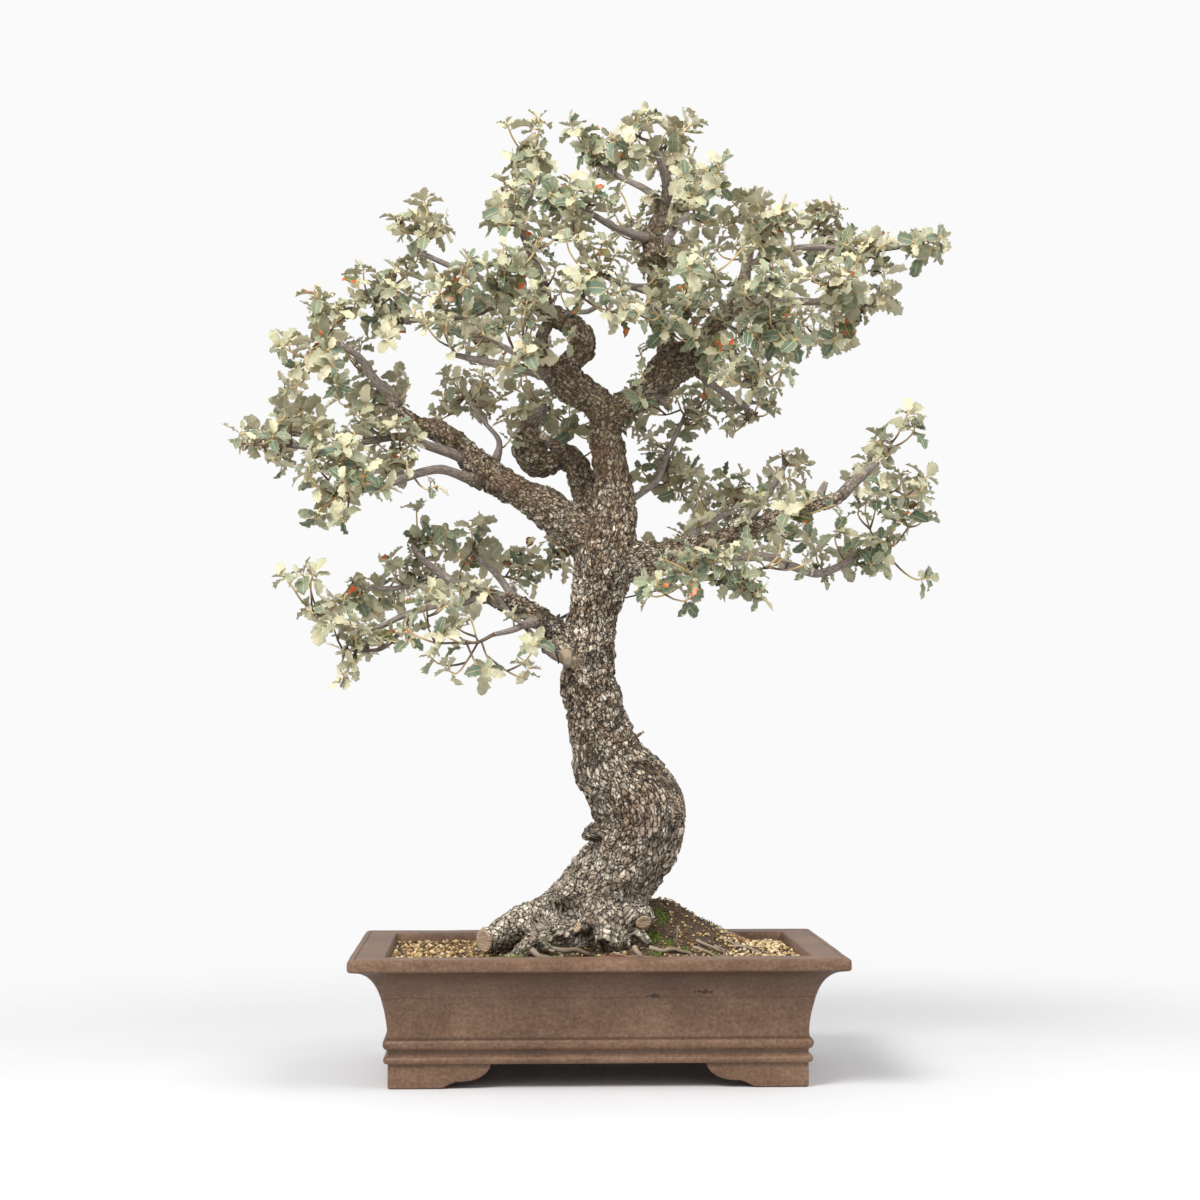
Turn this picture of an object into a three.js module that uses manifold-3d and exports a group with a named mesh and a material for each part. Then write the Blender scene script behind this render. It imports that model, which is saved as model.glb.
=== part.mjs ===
// Holm oak bonsai in its rectangular clay pot. Millimetres, +Z up, the viewer stands at -Y.
import * as THREE from 'three';
import { mergeGeometries, mergeVertices } from 'three/addons/utils/BufferGeometryUtils.js';
import Module from 'manifold-3d';

const wasm = await Module();
wasm.setup();

// Clear gap between pieces that rest on or in each other
const CLEARANCE = 0.3;

// Corners nearer than this are one, and a direction whose square is less than the second is none
const MERGED = 1e-4;
const SHORT = 1e-3;

// The pot: outer size, then the underside, the floor inside it and the slightly cut corners
const POT = { width: 450, depth: 302, height: 118, underside: 22, floor: 32, cornerCut: 3 };

// The pot's wall as [inset from the rim's outer edge, height]: feet line, two mouldings, hollow curve, rim
const POT_OUTSIDE = [
  [33, 22], [31, 24], [31, 28], [34, 29.5], [34, 34], [31, 36], [30.5, 43], [33.6, 45], [33.6, 56],
  [31, 70], [27.8, 84], [22.2, 96], [12, 105], [2, 107.5], [0, 110], [0, 115], [1.5, 118],
];
const POT_INSIDE = [[45.6, 32], [43.6, 56], [38, 84], [34, 106], [32, 118]];

// The cloud-shaped corner feet, whose lower edge steps up from a flat to the underside of the wall
const FOOT = {
  inset: 35,
  flat: 41,
  length: 93,
  sideLength: 78,
  thickness: 12,
  sink: 1,
  step: { reach: 14, height: 6 },
  shoulder: { reach: 18, height: 10 },
};

// Two drain holes and the plastic mesh that lies over each
const DRAIN = { offset: 95, radius: 11, sides: 12, meshSize: 38, meshThickness: 1.2, openings: 2, bar: 3 };

// Soil: its level at the rim and the mound that the roots stand in
const SOIL = {
  level: 110,
  columns: 12,
  rows: 9,
  grain: 1.6,
  seed: 700,
  headroom: 60,
  mounds: [
    { x: 22, y: 14, height: 25, reachX: 74, reachY: 62 },
    { x: 82, y: 40, height: 9, reachX: 46, reachY: 40 },
    { x: -48, y: -20, height: 7, reachX: 40, reachY: 34 },
  ],
};

// Branch points are read as seen from this eye against the plane y = 0; depth moves them along that sight
const EYE = new THREE.Vector3(-84, -2305, 341);

// Each limb is a list of [x, depth, z, radius], from its root to its end
const LIMBS = {
  trunk: [
    [-16, 6, 80, 48], [-13, 6, 103, 57], [-9, 6, 136, 58], [0, 4, 164, 54], [17, 0, 187, 53],
    [38, -6, 213, 47], [45, -8, 240, 43], [33, -6, 264, 41], [16, -2, 287, 37], [7, 2, 313, 31],
    [1, 4, 340, 28], [-5, 4, 369, 27], [-4, 4, 397, 24], [-2, 4, 426, 23], [4, 4, 455, 26],
    [9, 4, 483, 29], [16, 4, 512, 25], [19, 4, 541, 20], [16, 4, 570, 17.5], [12, 3, 599, 16],
    [11, 0, 620, 15], [11, -2, 634, 12],
  ],
  rootLeft: [
    [-8, 0, 160, 26], [-38, -12, 141, 19], [-68, -24, 129, 13], [-94, -32, 124, 10],
    [-108, -36, 122, 9],
  ],
  rootFrontLeft: [[-12, -18, 148, 24], [-38, -38, 128, 17], [-62, -52, 114, 11], [-82, -60, 100, 7]],
  rootFront: [[8, -16, 152, 26], [16, -38, 130, 20], [24, -56, 110, 12]],
  rootRightStub: [[26, -18, 166, 16], [43, -30, 148, 11], [53, -37, 136, 9.5]],
  rootRight: [
    [22, 0, 166, 26], [50, 0, 143, 17], [80, -6, 129, 11], [110, -10, 117, 8], [130, -12, 105, 6],
  ],
  rootBackRight: [[22, 18, 164, 26], [46, 42, 140, 17], [70, 60, 120, 11], [88, 70, 102, 7]],
  rootBackLeft: [[-10, 18, 160, 26], [-38, 40, 136, 17], [-64, 58, 114, 10]],
  leftArm: [
    [9, 6, 487, 19], [-9, 6, 505, 21], [-33, 8, 525, 20], [-62, 12, 543, 16], [-88, 16, 557, 15],
    [-111, 20, 573, 15], [-128, 22, 592, 12], [-148, 24, 607, 10.5], [-171, 24, 613, 9],
    [-185, 22, 624, 7.5], [-196, 18, 640, 5.7], [-211, 10, 657, 4.3], [-225, 0, 677, 3.6],
    [-244, -12, 690, 2.8],
  ],
  leftArmMid: [
    [-119, 18, 577, 7.5], [-133, 12, 584, 5.2], [-157, 2, 592, 4.6], [-182, -8, 601, 4.2],
    [-215, -18, 597, 3.5], [-253, -26, 589, 3], [-289, -32, 592, 2.4],
  ],
  leftArmLow: [
    [-108, 14, 558, 8.5], [-127, 2, 564, 5.2], [-148, -14, 570, 4.6], [-183, -42, 561, 4],
    [-207, -56, 551, 3.6],
  ],
  leftArmTwig: [[-100, 18, 566, 7], [-91, 34, 596, 2.8], [-104, 46, 614, 2.4], [-119, 56, 634, 2.1]],
  hidden: [
    [3, 26, 522, 14], [-6, 34, 541, 14], [-12, 38, 562, 13], [-21, 40, 581, 12], [-32, 42, 590, 9.5],
  ],
  hiddenKnob: [
    [-27, 42, 584, 10.5], [-42, 44, 576, 11], [-58, 46, 575, 11.5], [-68, 48, 589, 10.5],
    [-67, 48, 605, 9], [-57, 46, 618, 6.5], [-47, 44, 632, 3.4],
  ],
  leftLeader: [
    [13, 0, 614, 13.5], [5, -2, 630, 15], [-6, -4, 641, 16], [-23, -6, 652, 16], [-37, -6, 664, 14],
    [-43, -4, 676, 8.5],
  ],
  leftBurl: [
    [-33, -6, 660, 12.5], [-20, -8, 677, 12], [-10, -8, 691, 13], [-16, -6, 705, 11.5],
    [-31, -4, 714, 10.5], [-46, -2, 723, 9], [-68, 2, 733, 7.6], [-91, 6, 732, 6.6],
    [-112, 8, 723, 6], [-133, 6, 718, 5], [-158, 2, 716, 3.8], [-183, -4, 712, 2.8],
  ],
  leftBurlSide: [[-37, -2, 658, 9.5], [-46, 2, 676, 7.6], [-51, 2, 694, 6.6], [-44, 0, 712, 5.6]],
  leftLeaderRear: [
    [-46, -2, 723, 7.5], [-49, 8, 747, 5.7], [-57, 16, 769, 4.8], [-64, 20, 787, 4.2],
    [-71, 18, 807, 3.4], [-62, 12, 833, 2.8], [-56, 10, 858, 2.3],
  ],
  leftLeaderHigh: [
    [-81, 4, 733, 5.7], [-100, -6, 749, 4], [-127, -16, 761, 3.2], [-168, -24, 779, 2.3],
  ],
  leftLeaderLow: [
    [-37, -8, 660, 8.5], [-60, -26, 665, 5.2], [-86, -38, 670, 4.2], [-133, -48, 680, 2.5],
  ],
  leftLeaderBack: [[-20, 6, 649, 10], [-41, 38, 656, 5.6], [-64, 70, 676, 4.2], [-91, 96, 690, 3]],
  leftLeaderTwig: [[-33, -6, 714, 5.6], [-20, -14, 722, 2.9], [-6, -22, 723, 2.5], [11, -32, 734, 2.1]],
  rightLeader: [
    [8, 0, 612, 12.5], [23, -4, 629, 13.5], [40, -8, 637, 12.5], [56, -10, 649, 15],
    [71, -8, 666, 19], [90, -4, 678, 17], [106, 2, 694, 12.5], [119, 6, 712, 10], [133, 10, 727, 9],
    [142, 14, 745, 7.5], [147, 16, 768, 5.2], [152, 16, 791, 3.8], [157, 12, 817, 2.7],
  ],
  rightStub: [[44, -12, 634, 8.5], [58, -20, 638, 6.2], [71, -26, 637, 5.3]],
  rightLeaderFar: [
    [136, 10, 732, 6.6], [165, 2, 735, 4.6], [199, -8, 734, 3.8], [236, -16, 734, 3],
    [263, -22, 739, 2.3],
  ],
  rightLeaderTip: [
    [147, 16, 766, 4.8], [178, 26, 782, 3.8], [216, 30, 787, 3.2], [255, 22, 783, 2.9],
    [300, 6, 788, 2.1],
  ],
  rightLeaderLow: [
    [102, -2, 688, 8.5], [125, -20, 683, 4.4], [148, -40, 677, 3.4], [169, -56, 668, 2.4],
  ],
  rightLeaderHang: [[96, 0, 673, 9.5], [113, 14, 654, 4.2], [133, 24, 639, 3.2], [148, 32, 630, 2.3]],
  rightLeaderBack: [
    [125, 12, 717, 7.5], [139, 46, 735, 4.8], [152, 86, 745, 3.6], [170, 118, 739, 2.6],
  ],
  crown: [
    [75, -6, 674, 10.5], [67, -2, 698, 9.6], [59, 4, 725, 9.6], [61, 8, 752, 9.6], [58, 10, 777, 12],
    [57, 10, 799, 8.5], [64, 10, 820, 6.6], [71, 8, 841, 5.6], [66, 4, 863, 4.2], [56, -2, 888, 2.6],
  ],
  crownLeft: [
    [54, 8, 793, 6.6], [40, -2, 797, 4.2], [19, -14, 805, 3.5], [0, -24, 816, 3],
    [-20, -32, 829, 2.3],
  ],
  crownHighLeft: [[66, 12, 828, 4.8], [49, 28, 842, 3.4], [27, 42, 853, 2.8], [5, 50, 866, 2.3]],
  crownHighRight: [[71, 8, 845, 4.4], [91, -6, 853, 3.2], [108, -16, 861, 2.5]],
  crownBack: [[59, 16, 771, 8.5], [67, 46, 787, 4.8], [79, 80, 805, 3.6], [90, 108, 818, 2.6]],
  crownFront: [[61, 0, 744, 7.5], [44, -26, 746, 4.2], [25, -50, 750, 3.2], [11, -66, 757, 2.4]],
  rightLow: [
    [11, 2, 472, 17], [34, 0, 482, 18], [57, -2, 485, 17], [82, -4, 487, 15], [101, -4, 490, 11.5],
  ],
  rightLowUpper: [
    [92, -6, 493, 11.5], [123, -18, 505, 8], [155, -30, 517, 7.5], [188, -38, 530, 7],
    [215, -42, 538, 8], [235, -42, 544, 6.6], [248, -40, 557, 5.6], [264, -36, 571, 4.2],
    [277, -32, 583, 2.5],
  ],
  rightLowStub: [[213, -42, 538, 5.6], [218, -40, 548, 4.3], [222, -38, 557, 3]],
  rightLowLower: [
    [94, 2, 486, 10.5], [119, 14, 486, 5.7], [144, 24, 487, 4.8], [165, 30, 487, 4.4],
    [190, 36, 478, 4.4], [215, 42, 471, 4.2], [234, 44, 477, 3.8], [250, 46, 486, 3],
    [271, 46, 499, 2.3],
  ],
  rightLowHigh: [[140, -24, 511, 6.6], [156, -10, 532, 3.8], [171, 4, 553, 3], [183, 12, 574, 2.3]],
  rightLowFront: [[96, -8, 486, 10], [105, -34, 480, 4.8], [121, -60, 474, 3.4], [136, -82, 469, 2.4]],
  rightLowBack: [[86, 4, 493, 10], [96, 44, 507, 5.2], [113, 84, 522, 3.8], [134, 116, 530, 2.6]],
  leftLow: [
    [-6, 2, 380, 15.5], [-23, 0, 399, 14.5], [-40, -2, 418, 12.5], [-61, -4, 433, 11],
    [-82, -6, 442, 9.6], [-102, -8, 449, 8], [-119, -8, 454, 5.8], [-134, -8, 461, 5.2],
    [-147, -6, 470, 4.2], [-163, -2, 483, 3.2], [-174, 4, 496, 2.3],
  ],
  leftLowLong: [
    [-100, -8, 448, 6.6], [-124, -18, 443, 3.8], [-153, -28, 439, 3.2], [-182, -36, 430, 2.9],
    [-206, -40, 419, 2.7], [-233, -42, 417, 2.3], [-254, -40, 429, 2],
  ],
  leftLowHang: [
    [-176, -34, 431, 3], [-187, -46, 412, 2.3], [-204, -56, 398, 2.1], [-222, -61, 396, 1.9],
  ],
  leftLowFar: [[-138, -6, 464, 4.8], [-163, 8, 462, 3.4], [-189, 20, 456, 2.8], [-218, 28, 456, 2.3]],
  leftLowBare: [
    [-96, -12, 446, 5.6], [-81, -26, 433, 2.5], [-61, -30, 414, 2.5], [-42, -26, 393, 2.7],
    [-27, -14, 386, 3.8],
  ],
  leftLowBack: [[-69, 2, 436, 9.5], [-81, 40, 453, 4.2], [-94, 72, 470, 3.2], [-111, 96, 485, 2.4]],
  leftLowFront: [[-52, -8, 426, 9.5], [-65, -36, 422, 3.8], [-79, -62, 416, 2.8], [-96, -84, 412, 2.3]],
  rearTwig: [
    [27, 10, 538, 5.7], [44, 30, 547, 3.2], [61, 44, 561, 2.9], [70, 54, 586, 2.7],
    [84, 62, 615, 2.1],
  ],
};

// How far the bark's ridges stand in and out, as a share of the radius, and the limbs' facets
const BARK = {
  relief: 0.055,
  thinRelief: 0.03,
  thin: 8,
  leastRadius: 1.6,
  limbSeed: 4001,
  ringSeed: 41,
};
const FACETS = [
  { from: 20, sides: 12, pitch: 30 },
  { from: 9.5, sides: 8, pitch: 30 },
  { from: 6, sides: 6, pitch: 34 },
  { from: 0, sides: 4, pitch: 40 },
];

// Leafy sprays: limb that each grows from, and where its tip is seen, [x, depth, z]
const SPRAYS = [
  ['leftArmMid', -334, -44, 594],
  ['leftArmMid', -289, -20, 622],
  ['leftArmMid', -243, -66, 577],
  ['leftArmLow', -251, -92, 546],
  ['leftArmLow', -196, -10, 590],
  ['leftArm', -261, 10, 715],
  ['leftArm', -286, -52, 668],
  ['leftArm', -207, 44, 652],
  ['leftBurl', -202, 4, 740],
  ['leftLeaderHigh', -163, -8, 808],
  ['leftLeaderHigh', -137, -60, 743],
  ['leftBurl', -86, -62, 764],
  ['leftLeaderLow', -140, -62, 690],
  ['leftArmTwig', -127, 92, 644],
  ['leftLeaderLow', -64, -72, 695],
  ['leftLeaderBack', -119, 158, 704],
  ['hiddenKnob', -60, 100, 640],
  ['leftLeaderRear', -64, 0, 881],
  ['leftLeaderRear', -87, -26, 825],
  ['crownHighLeft', -6, 66, 888],
  ['crown', 36, -36, 900],
  ['crown', 75, 30, 892],
  ['crownHighRight', 124, -34, 871],
  ['crownLeft', -37, -54, 835],
  ['crownBack', 92, 156, 840],
  ['crownBack', 44, 130, 800],
  ['crownFront', -4, -96, 758],
  ['crown', 92, -60, 735],
  ['rightLeader', 147, 44, 836],
  ['rightLeader', 178, -40, 805],
  ['rightLeaderTip', 224, 62, 808],
  ['rightLeaderTip', 269, -12, 798],
  ['rightLeaderTip', 322, -14, 797],
  ['rightLeaderFar', 238, -56, 753],
  ['rightLeaderFar', 262, 6, 722],
  ['rightLeaderLow', 170, -88, 724],
  ['rightLeaderLow', 152, -70, 648],
  ['rightLeaderHang', 150, 52, 616],
  ['rightLeaderBack', 189, 168, 706],
  ['rearTwig', 94, 86, 634],
  ['rearTwig', 67, 92, 570],
  ['leftLowLong', -275, -44, 441],
  ['leftLowFar', -231, 52, 464],
  ['leftLow', -163, 28, 514],
  ['leftLowFront', -126, -108, 407],
  ['leftLowHang', -240, -76, 398],
  ['leftLowBack', -116, 148, 498],
  ['rightLowFront', 142, -108, 455],
  ['rightLowBack', 142, 170, 545],
  ['rightLowHigh', 181, 30, 590],
  ['rightLowUpper', 287, -28, 600],
  ['rightLowLower', 291, 60, 500],
];

// A leafy stem has three sides; its leaves grow from those sides in tiers, counted back from the tip
const STEM = {
  sides: 3,
  baseRadius: 2,
  tipRadius: 1.25,
  bow: [0.024, 0.168],
  bend: 0.096,
  firstRing: 0.3,
  tierHeight: 2.2,
  bareLength: 3,
  rootSpread: 7,
  scatter: 0.4,
  apart: 13,
  places: { from: 0.1, step: 0.025 },
  attempts: 40,
  seed: 1000,
  seedStep: 61,
};
const TIERS = [
  { back: 25, rise: [0.1, 0.6] },
  { back: 12.5, rise: [0.2, 0.8] },
  { back: 0, rise: [0.5, 1.1] },
];

// A leaf blade; each station gives both edges' shares of the length and half width, and the edge wave
const LEAF = {
  thickness: 0.8,
  length: [29, 38],
  halfWidth: [8.2, 10.2],
  curl: [-0.3, 0.7],
  roll: 0.5,
  wave: [0.64, 1.6],
  stations: [
    { left: [0.34, 0.8], right: [0.42, 1.0], wave: 1 },
    { left: [0.68, 1.0], right: [0.76, 0.72], wave: -1 },
  ],
};

// One guy wire ties the two lowest branches together behind the trunk
const WIRE = {
  radius: 0.8,
  sides: 4,
  loopSteps: 9,
  runSteps: 5,
  slack: 1.12,
  left: { limb: 'leftLow', at: 0.27 },
  right: { limb: 'rightLowLower', at: 0.52 },
  behindTrunk: [[-16, 35, 435], [16, 37, 444]],
};

const COLOURS = {
  clay: { color: 0x71573f, roughness: 0.85 },
  soil: { color: 0x8a6d4c, roughness: 0.95 },
  bark: { color: 0x6f6151, roughness: 0.9 },
  leafGrey: { color: 0x9a9577, roughness: 0.65 },
  leafPale: { color: 0xaea98a, roughness: 0.65 },
  leafGreen: { color: 0x7f8766, roughness: 0.6 },
  wire: { color: 0x39404a, roughness: 0.5, metalness: 0.6 },
  mesh: { color: 0x23262a, roughness: 0.7 },
};

// A repeatable draw between 0 and 1 for a whole number
function draw(seed) {
  let t = (seed + 0x6d2b79f5) | 0;
  t = Math.imul(t ^ (t >>> 15), t | 1);
  t ^= t + Math.imul(t ^ (t >>> 7), t | 61);
  return ((t ^ (t >>> 14)) >>> 0) / 4294967296;
}

// A stream of such draws
function drawsFrom(seed) {
  let count = 0;
  return (low, high) => {
    count += 1;
    return low + (high - low) * draw(seed * 9973 + count * 131);
  };
}

function placed([x, depth, z]) {
  const stretch = -depth / EYE.y;
  return new THREE.Vector3(x + (x - EYE.x) * stretch, depth, z + (z - EYE.z) * stretch);
}

// The geometry with only positions, shared vertices merged and collapsed triangles left out
function welded(geometry) {
  const bare = geometry.clone();
  bare.deleteAttribute('normal');
  bare.deleteAttribute('uv');
  const merged = mergeVertices(bare, MERGED);
  const kept = [];
  const index = merged.index.array;
  for (let i = 0; i < index.length; i += 3) {
    const [a, b, c] = [index[i], index[i + 1], index[i + 2]];
    if (a !== b && b !== c && c !== a) kept.push(a, b, c);
  }
  merged.setIndex(kept);
  merged.clearGroups();
  return merged;
}

function solid(geometry) {
  const { attributes, index } = welded(geometry);
  return new wasm.Manifold(
    new wasm.Mesh({
      numProp: 3,
      vertProperties: Float32Array.from(attributes.position.array),
      triVerts: Uint32Array.from(index.array),
    }),
  );
}

function largestPiece(body) {
  const pieces = body.decompose();
  return pieces.reduce((best, piece) => (piece.volume() > best.volume() ? piece : best));
}

function geometryOf(body) {
  const mesh = body.getMesh();
  const geometry = new THREE.BufferGeometry();
  geometry.setAttribute('position', new THREE.BufferAttribute(mesh.vertProperties, mesh.numProp));
  geometry.setIndex(new THREE.BufferAttribute(mesh.triVerts, 1));
  geometry.computeVertexNormals();
  return geometry;
}

// A copy moved by a matrix; a mirrored copy has its triangles turned to face out again
function moved(geometry, matrix) {
  const copy = welded(geometry);
  copy.applyMatrix4(matrix);
  if (matrix.determinant() < 0) copy.index.array.reverse();
  return copy;
}

// A profile of [inset, height] swept round a rectangle with slightly cut corners
function sweptBox(profile, width, depth, cut) {
  const halfDepth = depth / 2;
  const points = profile.map(([inset, z]) => new THREE.Vector2(halfDepth - inset, z));
  const geometry = new THREE.LatheGeometry(points, 8);
  const position = geometry.attributes.position;
  for (let i = 0; i < position.count; i += 1) {
    const step = Math.floor(i / points.length) % 8;
    const { x: reach, y: height } = points[i % points.length];
    if (reach === 0) {
      position.setXYZ(i, 0, 0, height);
      continue;
    }
    const along = (width - depth) / 2 + reach;
    const corners = [
      [-along + cut, -reach], [along - cut, -reach], [along, -reach + cut], [along, reach - cut],
      [along - cut, reach], [-along + cut, reach], [-along, reach - cut], [-along, -reach + cut],
    ];
    position.setXYZ(i, corners[step][0], corners[step][1], height);
  }
  return solid(geometry);
}

// The pot's hollow drawn in by a clearance, from the middle of its floor up to its rim
function potHollow(clearance) {
  const wall = POT_INSIDE.map(([inset, z]) => [inset + clearance, z]);
  wall[0][1] += clearance;
  return [[POT.depth / 2, wall[0][1]], ...wall];
}

function footLeg(length, alongY) {
  const { flat, step, shoulder, thickness, sink } = FOOT;
  const top = POT.underside + sink;
  const outline = new THREE.Shape();
  outline.moveTo(0, 0);
  outline.lineTo(flat, 0);
  outline.quadraticCurveTo(flat, step.height, flat + step.reach, step.height);
  outline.lineTo(length - shoulder.reach, shoulder.height);
  outline.quadraticCurveTo(length, shoulder.height, length, top);
  outline.lineTo(0, top);
  const leg = new THREE.ExtrudeGeometry(outline, {
    depth: thickness,
    bevelEnabled: false,
    curveSegments: 3,
  });
  leg.rotateX(Math.PI / 2);
  leg.translate(0, thickness, 0);
  if (!alongY) return leg;
  return moved(leg, new THREE.Matrix4().set(0, 1, 0, 0, 1, 0, 0, 0, 0, 0, 1, 0, 0, 0, 0, 1));
}

function pot() {
  const { width, depth, underside, floor, cornerCut } = POT;
  const profile = [[depth / 2, underside], ...POT_OUTSIDE, ...potHollow(0).reverse()];
  let body = sweptBox(profile, width, depth, cornerCut);
  const legs = [footLeg(FOOT.length, false), footLeg(FOOT.sideLength, true)];
  for (const sideX of [-1, 1]) {
    for (const sideY of [-1, 1]) {
      const place = new THREE.Matrix4().makeScale(-sideX, -sideY, 1);
      place.setPosition(sideX * (width / 2 - FOOT.inset), sideY * (depth / 2 - FOOT.inset), 0);
      for (const leg of legs) body = body.add(solid(moved(leg, place)));
    }
  }
  for (const side of [-1, 1]) {
    const drop = 2 * (floor - underside);
    const hole = new THREE.CylinderGeometry(DRAIN.radius, DRAIN.radius, drop, DRAIN.sides);
    hole.rotateX(Math.PI / 2);
    hole.translate(side * DRAIN.offset, 0, (floor + underside) / 2);
    body = body.subtract(solid(hole));
  }
  return body;
}

function drainMesh(side, clearance) {
  const { meshSize, meshThickness, openings, bar, offset } = DRAIN;
  const height = meshThickness + 2 * clearance;
  const size = meshSize + 2 * clearance;
  const middle = POT.floor + CLEARANCE + meshThickness / 2;
  let plate = solid(new THREE.BoxGeometry(size, size, height).translate(side * offset, 0, middle));
  if (clearance > 0) return plate;
  const opening = (meshSize - (openings + 1) * bar) / openings;
  const pitch = opening + bar;
  const centred = (i) => (i - (openings - 1) / 2) * pitch;
  for (let row = 0; row < openings; row += 1) {
    for (let column = 0; column < openings; column += 1) {
      const gap = new THREE.BoxGeometry(opening, opening, 2 * height);
      gap.translate(side * offset + centred(column), centred(row), middle);
      plate = plate.subtract(solid(gap));
    }
  }
  return plate;
}

// Soil surface: level at the rim, mounded round the trunk, rough with grains
function soilHeight(x, y, grainSeed) {
  const lift = SOIL.mounds.reduce((sum, mound) => {
    const u = (x - mound.x) / mound.reachX;
    const v = (y - mound.y) / mound.reachY;
    return sum + mound.height * Math.exp(-u * u - v * v);
  }, 0);
  return SOIL.level + lift + SOIL.grain * (2 * draw(grainSeed) - 1);
}

function soil(rootRoom) {
  const { width, depth, floor } = POT;
  const block = new THREE.BoxGeometry(width, depth, 1, SOIL.columns, SOIL.rows, 1);
  const position = block.attributes.position;
  for (let i = 0; i < position.count; i += 1) {
    const x = position.getX(i);
    const y = position.getY(i);
    const column = Math.round((x / width + 0.5) * SOIL.columns);
    const row = Math.round((y / depth + 0.5) * SOIL.rows);
    const onTop = position.getZ(i) > 0;
    position.setZ(i, onTop ? soilHeight(x, y, SOIL.seed + row * SOIL.columns + column) : floor - 1);
  }
  const hollow = potHollow(CLEARANCE);
  const lip = hollow[hollow.length - 1];
  lip[1] += SOIL.headroom;
  const room = sweptBox([...hollow, [depth / 2, lip[1]]], width, depth, POT.cornerCut);
  let body = solid(block).intersect(room).subtract(rootRoom);
  for (const side of [-1, 1]) body = body.subtract(drainMesh(side, CLEARANCE));
  return largestPiece(body);
}

// The centreline and radius of a limb as smooth functions of a share between 0 and 1
function limbLine(name) {
  const points = LIMBS[name];
  const curve = new THREE.CatmullRomCurve3(points.map(placed), false, 'centripetal');
  const radii = new THREE.CatmullRomCurve3(points.map((point, i) => new THREE.Vector3(point[3], i, 0)));
  return {
    at: (share) => curve.getPoint(share),
    radius: (share) => Math.max(BARK.leastRadius, radii.getPoint(share).x),
    length: curve.getLength(),
    girth: points.map((point) => point[3]).sort((a, b) => a - b)[Math.floor(points.length / 2)],
    curve,
  };
}

// Frames carried along a curve without twist
function carriedFrames(curve, shares) {
  let across = new THREE.Vector3(1, 0, 0);
  return shares.map((share) => {
    const tangent = curve.getTangent(share);
    across = across.clone().addScaledVector(tangent, -across.dot(tangent));
    if (across.lengthSq() < SHORT) across.set(0, 1, 0).addScaledVector(tangent, -tangent.y);
    across.normalize();
    return { centre: curve.getPoint(share), tangent, across, side: across.clone().cross(tangent) };
  });
}

// A closed cylinder bent along a limb, its radius ridged like bark and grown by a clearance
function limb(name, number, clearance) {
  const line = limbLine(name);
  const facet = FACETS.find((entry) => line.girth >= entry.from);
  const steps = Math.max(LIMBS[name].length - 1, Math.round(line.length / facet.pitch));
  const geometry = new THREE.CylinderGeometry(1, 1, 1, facet.sides, steps);
  const shares = Array.from({ length: steps + 1 }, (_, i) => i / steps);
  const frames = carriedFrames(line.curve, shares);
  const position = geometry.attributes.position;
  for (let i = 0; i < position.count; i += 1) {
    const x = position.getX(i);
    const z = position.getZ(i);
    const ring = Math.round((position.getY(i) + 0.5) * steps);
    const { centre, tangent, across, side } = frames[ring];
    const facetNumber = Math.round((Math.atan2(x, z) / (2 * Math.PI) + 1) * facet.sides) % facet.sides;
    const radius = line.radius(shares[ring]);
    const relief = radius > BARK.thin ? BARK.relief : BARK.thinRelief;
    const ridge = 2 * draw(number * BARK.limbSeed + ring * BARK.ringSeed + facetNumber) - 1;
    const reach = radius * (1 + relief * ridge) + clearance;
    const point = centre.clone().addScaledVector(across, x * reach).addScaledVector(side, z * reach);
    if (ring === 0) point.addScaledVector(tangent, -clearance);
    if (ring === steps) point.addScaledVector(tangent, clearance);
    position.setXYZ(i, point.x, point.y, point.z);
  }
  return solid(geometry);
}

function wood(clearance) {
  const limbs = Object.keys(LIMBS).map((name, number) => limb(name, number, clearance));
  return limbs.reduce((body, piece) => body.add(piece));
}

// The wire loop round a limb and the straight run that joins the two loops behind the trunk
function guyWire(woodRoom) {
  const ends = [WIRE.left, WIRE.right].map(({ limb: name, at }) => {
    const line = limbLine(name);
    const tangent = line.curve.getTangent(at);
    const centre = line.at(at);
    const reach = line.radius(at) * WIRE.slack + WIRE.radius + CLEARANCE;
    return { centre, tangent, reach };
  });
  const loops = ends.map(({ centre, tangent, reach }) => {
    const loop = new THREE.TorusGeometry(reach, WIRE.radius, WIRE.sides, WIRE.loopSteps);
    const turn = new THREE.Quaternion().setFromUnitVectors(new THREE.Vector3(0, 0, 1), tangent);
    loop.applyQuaternion(turn);
    loop.translate(centre.x, centre.y, centre.z);
    return solid(loop);
  });
  const behind = new THREE.Vector3(0, 1, 0);
  const [from, to] = ends.map(({ centre, tangent, reach }) => {
    const back = behind.clone().addScaledVector(tangent, -behind.dot(tangent)).normalize();
    return centre.clone().addScaledVector(back, reach);
  });
  const route = new THREE.CatmullRomCurve3([from, ...WIRE.behindTrunk.map(placed), to]);
  const section = new THREE.Shape();
  section.absarc(0, 0, WIRE.radius, 0, 2 * Math.PI);
  const run = new THREE.ExtrudeGeometry(section, {
    steps: WIRE.runSteps,
    curveSegments: WIRE.sides,
    extrudePath: route,
  });
  const body = loops[0].add(loops[1]).add(solid(run));
  return body.intersect(woodRoom).isEmpty() ? body : largestPiece(body.subtract(woodRoom));
}

// The place on a limb that is nearest to a tip and not where another spray already grows
function nearestShare(line, target, taken) {
  let best = { share: 1, distance: Infinity };
  for (let share = STEM.places.from; share <= 1; share += STEM.places.step) {
    const point = line.at(share);
    const distance = point.distanceTo(target);
    const free = taken.every((start) => start.distanceTo(point) > STEM.apart);
    if (free && distance < best.distance) best = { share, distance };
  }
  return best.share;
}

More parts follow.
